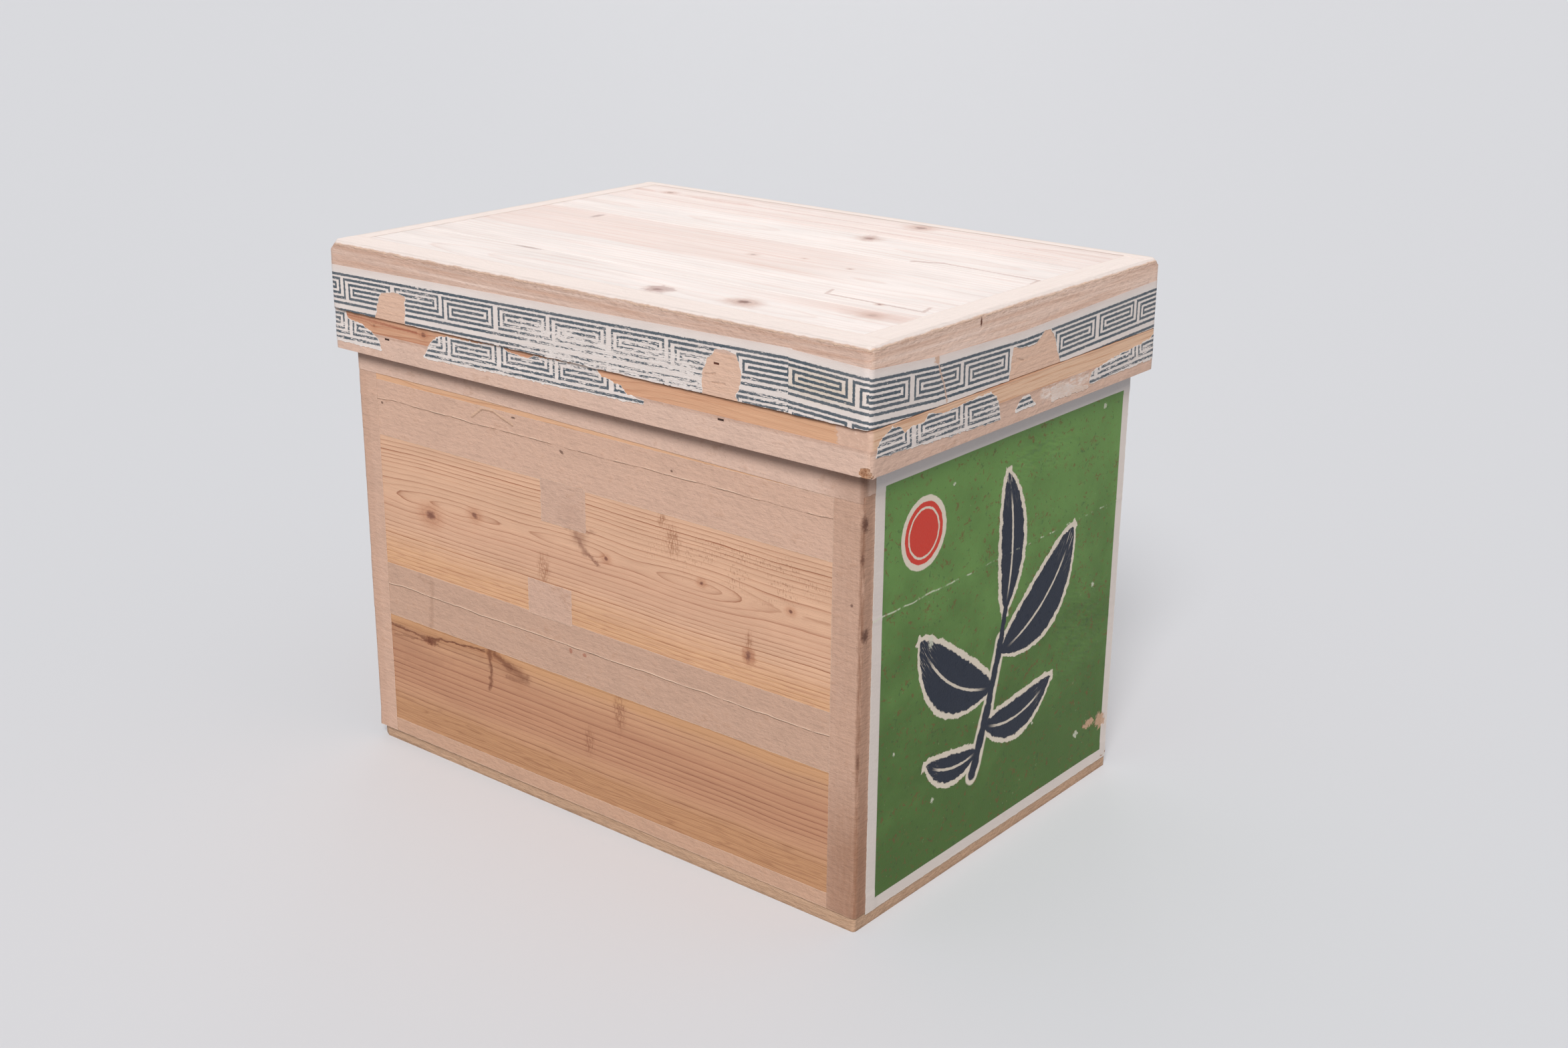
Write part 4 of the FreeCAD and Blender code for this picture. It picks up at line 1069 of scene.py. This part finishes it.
seam = 423.4
side_height = lid_top - seam
edge_radius, over_edge, thin_paper = 5, 5.6, 0.12
laps = {"front": 30.0, "back": 14.0, "left": 19.0, "right": 28.0}
for side, (half_along, out) in lid_half.items():
    over = 1.0 if side in ("front", "back") else 0.0
    full, height = half_along + 2.4 * over, side_height + laps[side]
    right_edge = [(full, 0), (full, side_height - 2), (half_along - 1, side_height + 2),
                  (half_along - 3, height)]
    outline = right_edge + [(-along, up) for along, up in reversed(right_edge)]
    piece, u, v = cut_paper(f"paper_lid_{side}", (-full, 0.0), (full, height), (2.0, 1.5), [outline],
                            fray=0.3, seed=70 + len(side))
    past, depth = np.maximum(abs(u) - half_along, 0), np.maximum(v - side_height, 0)
    along = np.clip(u, -half_along, half_along)
    sharp = np.stack([along, out - past - depth, np.minimum(seam + v, lid_top)], 1)
    core = np.stack([np.clip(along, edge_radius - half_along, half_along - edge_radius),
                     np.minimum(sharp[:, 1], out - edge_radius),
                     np.minimum(sharp[:, 2], lid_top - edge_radius)], 1)
    lean = sharp - core
    rounded = core + lean / np.linalg.norm(lean, axis=1)[:, None] * over_edge
    put(piece.data, on_side(side, rounded[:, 0], rounded[:, 1], rounded[:, 2]) / 1000)
    wrap = piece.modifiers.new("pasted on", "SHRINKWRAP")
    wrap.target = lid_form
    wrap.wrap_method = "NEAREST_SURFACEPOINT"
    wrap.wrap_mode = "ABOVE_SURFACE"
    wrap.offset = (0.1 + 0.13 * over) / 1000
    bpy.context.view_layer.objects.active = piece
    bpy.ops.object.modifier_apply(modifier=wrap.name)
    place = spots_of(piece.data) * 1000
    piece.data.update()
    worn = 0.22 * np.exp(-((v - side_height) / 4.0) ** 2) * np.clip(ripple(u, v, 5.0, 72), -0.6, 1)
    lift = 0.03 * (1 + ripple(u, v, 16.0, 71)) + worn * (depth <= 1)
    place += spots_of(piece.data, "normal") * lift[:, None]
    finish = kraft(f"lid_{side}", (209, 177, 160) if over else (228, 196, 178), dirt=0.6, marks=lid_marks)
    paste(piece, place, thin_paper, finish, "lid", f"lid_tape_{side}")
bpy.data.objects.remove(lid_form)


# The sealing paper: white paper printed with a blue-grey key fret, pasted round the
# seam in several lengths and torn when the crate was first opened. Most of it is left on
# the lid, with torn holes, and ragged remains are left on the collar.
repeat = 131.0


def fret_paper():
    """Two rows of running key fret, printed unevenly, chipped along the lines and rubbed off in dashes."""
    seal = Finish("fret_paper", roughness=0.75, sheet=True)
    u, v, rim, x, y, z = seal.u, seal.v, seal.rim, seal.x, seal.y, seal.z
    pitch, row_height, row_step, half_line, wide = 4.25, 17, 32.4, 1.18, 61.5
    level = v - v.math("GREATER_THAN", 37.2) * row_step
    shifted = (u + repeat / 2).math("FLOORED_MODULO", repeat) - repeat / 2
    rightwards = shifted.math("GREATER_THAN", 0)
    a = abs(shifted)
    b = (level - 12.1) * (rightwards * 2 - 1) + (1 - rightwards) * row_height
    reach = abs(level - 8).low(abs(level - 33.9)) - half_line
    for a0, a1, b0, b1 in (
            (0, wide, 0, 0), (6.5, wide, row_height, row_height), (0, 0, 0, row_height),
            (wide, wide, 0, row_height),
            (6.5, 6.5, pitch, row_height), (6.5, 55.5, pitch, pitch), (55.5, 55.5, pitch, 3 * pitch),
            (12, 55.5, 3 * pitch, 3 * pitch), (12, 12, 2 * pitch, 3 * pitch), (12, 50, 2 * pitch, 2 * pitch)):
        outside = (abs(a - (a0 + a1) / 2) - (a1 - a0) / 2).high(abs(b - (b0 + b1) / 2) - (b1 - b0) / 2)
        reach = reach.low(outside - half_line)
    grit = seal.noise(u / 0.9, v / 0.7, 1, 2, 0.7)
    waver = seal.noise(u / 4, v / 2.2, 7)
    chips = seal.noise(u / 3.6, v / 0.95, 2, 4, 0.7)
    dashes = seal.noise(u / 15, v / 1.3, 3, 3, 0.6)
    patches = seal.noise(u / 26, v / 9, 6, 3, 0.6)
    nicks = seal.noise(u / 1.9, v, 17, 2, 0.6) + patches * 0.25
    cloud = seal.noise(u / 40, v / 14, 5, 3)
    on_lid = v.over(50.5, 49)
    wear = u.over(150, 260) * u.over(475, 430) * (v.over(4, 26) * 0.44 + 0.08) * on_lid
    wear = wear.high(u.between(70, 130, 14) * v.over(26, 14) * 0.3,
                     u.between(465, 560, 12) * v.over(24, 34) * 0.34 * on_lid)
    wear = wear * u.over(560, 540) + (1 - on_lid) * 0.31 + patches * 0.22 + 0.22
    lost = chips * 0.55 + dashes * 0.5 + wear * 1.25
    blank = y.between(30, 97, 1) * x.over(295, 299) * (1 - on_lid) * (z + y * 0.2).over(417, 416)
    ink = (reach + grit * 0.3 + waver * 0.3).over(0.25, -0.25) * v.between(5, 69.5, 0.3) * (1 - blank)
    ink = ink * lost.over(0.92, 0.78) * nicks.over(0.95, 0.75) * (rim + chips * 0.5).over(0, 0.6)
    tear = seal.path(y + dashes * 1.4, z, [(-130.5, 472), (-124, 452), (-118, 441), (-112.5, 425)],
                     0.8, 0.8, 0.6)
    tear = tear.high(seal.blot(y, z, (-128, 461), (3, 4), 0.7)) * x.over(285, 290) * y.over(-60, -70)
    beige = seal.blot(u, v, (1278, 22), (34, 11), 0.3, 0.6)
    tone = seal.layers(
        seal.shade((230, 217, 210), 1 + cloud * 0.035 + grit * 0.02 + chips * 0.02),
        ((patches * 0.5 + dashes * 0.5).over(0.25, 0.9) * 0.35, (214, 190, 176)),
        (lost.over(0.8, 1.3) * 0.5, (240, 232, 227)),
        (v.over(5.5, 0) * (chips * 0.5 + 0.5).clipped() * 0.5, (220, 192, 180)),
        ((rim + chips * 0.4).over(1.2, 0.1) * 0.5, (244, 238, 232)),
        (blank * (patches * 0.3 + chips * 0.4 + 0.5).clipped(), (220, 186, 164)),
        (tear * 0.8, (206, 164, 136)),
        (beige * 0.5, (208, 188, 160)),
        (ink * (grit * 0.1 + cloud * 0.05 + 0.92).low(1) * (1 - tear * 0.8), (58, 76, 88)))
    return seal.paint(tone, ink * 0.1 + grit * 0.25 + cloud * 0.6 - lost.over(0.7, 1.5) * 0.5, 0.25)


fret = fret_paper()
front_top = [(-4, 463.9), (526, 473.5)]
corner_top = [(520, 473.2), (603.6, 469.6)]
end_near_top = [(-4, 469.5), (88, 462.8)]
end_far_top = [(82, 463.2), (205, 460.5), (426.6, 466.4)]
front_holes = [[(58, -3), (65, 19), (70, 24), (85, 26.5), (100, 25), (99, 12), (98, -3)],
               [(442, -3), (441, 17), (447, 29), (455, 37), (463, 39), (475, 36), (481, 22), (479, 12),
                (475, 5), (479, -3)]]
end_holes = [[(184, -3), (188, 20), (190, 27), (200, 24), (223, 23), (237, 32), (245, 31), (252, 23),
              (257, 11), (263, -3)]]
front_remains = [[(-1.2, 0), (15, 0), (19, -7), (35, -9), (50, -14), (61, -21), (63, -29.5), (-1.2, -29.5)],
                 [(117, -27), (123, -20), (126, -13), (135, -6), (147, -3), (190, -2), (217, 0), (225, -4),
                  (248, -5), (255, -2), (325, 0), (333, -6), (352, -9), (360, -15), (378, -18), (378, -21)]]
end_remains = [[(7, -21.5), (11, -11), (17, -7), (28, -2), (37, -4), (43, -10), (55, -7), (67, -8), (75, -2),
                (95, -6), (130, -4), (158, -3), (165, -7), (170, -14), (173, -29), (90, -26)],
               [(193, -28), (200, -20), (207, -16), (215, -17), (226, -28)],
               [(247, -19), (257, -17), (270, -19), (285, -24), (307, -28), (310, -31), (250, -31)],
               [(308, -28), (313, -18), (345, -13), (373, -11), (410, -8), (418, -4), (420.8, -7),
                (420.8, -27)]]


def front_print(u):
    """Where along the printed pattern a place on the front's long strip lies."""
    return (u - 19) * repeat / 129.6


def end_print(u):
    """The same for the end's long strip, far along the pattern."""
    return (u - 121) * repeat / 132.5 + 20 * repeat


strips = {
    "front": [("lid", front_top, (0.0, 529), front_holes, 0.0, front_print),
              ("lid", corner_top, (525.5, 599.6), [], 0.1, lambda u: u - 586 + 10 * repeat),
              ("crate", front_top, front_remains, [], 0.0, front_print)],
    "right": [("lid", end_near_top, (0.0, 87.5), [], 0.1, lambda u: u + 13.6 + 10 * repeat),
              ("lid", end_far_top, (83.5, 422.6), end_holes, 0.0, end_print),
              ("crate", end_far_top, end_remains, [], 0.0, end_print)]}
for side, lengths in strips.items():
    cut = {"lid": [], "crate": []}
    for number, (body, edge, extent, holes, extra_lift, printed_at) in enumerate(lengths):
        edge_u, edge_z = zip(*edge)
        if body == "lid":
            start, end = extent
            slit = [(at, 0.3 + 0.25 * float(ripple(at, 0.0, 9.0, 85))) for at in np.arange(start, end, 5.0)]
            top = ([(end, float(np.interp(end, edge_u, edge_z)))]
                   + [point for point in reversed(edge) if start < point[0] < end]
                   + [(start, float(np.interp(start, edge_u, edge_z)))])
            outlines = [slit + [(end, 0.3)] + [(at, height - seam) for at, height in top]]
            low, high = (start, 0.15), (end, max(edge_z) - seam)
        else:
            outlines = extent
            all_u, all_h = zip(*(point for outline in outlines for point in outline))
            low, high = (min(all_u), min(all_h)), (max(all_u), -0.3)
        piece, u, h = cut_paper(f"seal_{side}_{number}", low, high, (1.5, 1.2), outlines, holes, fray=0.0,
                                tear=0.45, torn=body == "crate", seed=80 + number)
        if body == "lid" and not holes:
            piece.data.attributes["rim"].data.foreach_set("value", np.full(len(u), 30.0))
        lay_out(piece.data, printed_at(u), np.interp(u, edge_u, edge_z) - (h + seam))
        wrinkle = 0.03 * (1 + np.clip(ripple(u, h, 11.0, 81 + number), -1, 1.6))
        if body == "lid":
            half, radius, lift = lid_half[side], 5.0, 0.43 + extra_lift + wrinkle
        else:
            half, radius = collar_half[side], 4.0
            lift = 0.1 + wrinkle + 0.35 * np.clip((-14.0 - h) / 2.0, 0, 1)
        put(piece.data, round_corner(side, u - lid_half[side][0], seam + h, half, radius, lift) / 1000)
        cut[body].append(piece)
    for body, pieces in cut.items():
        where, other = "lid" if body == "lid" else "collar", {"front": "back", "right": "left"}[side]
        bpy.ops.object.select_all(action="DESELECT")
        for piece in pieces:
            piece.select_set(True)
        piece = pieces[0]
        bpy.context.view_layer.objects.active = piece
        if len(pieces) > 1:
            bpy.ops.object.join()
        piece.name = piece.data.name = f"seal_{where}_{side}"
        bpy.ops.object.duplicate()
        turned = bpy.context.object
        turned.name = turned.data.name = f"seal_{where}_{other}"
        half_turn = spots_of(turned.data) * 1000 * (-1, -1, 1)
        paste(piece, spots_of(piece.data) * 1000, thin_paper, fret, body, f"{where}_seal_{side}")
        paste(turned, half_turn, thin_paper, fret, body, f"{where}_seal_{other}")


low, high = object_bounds()
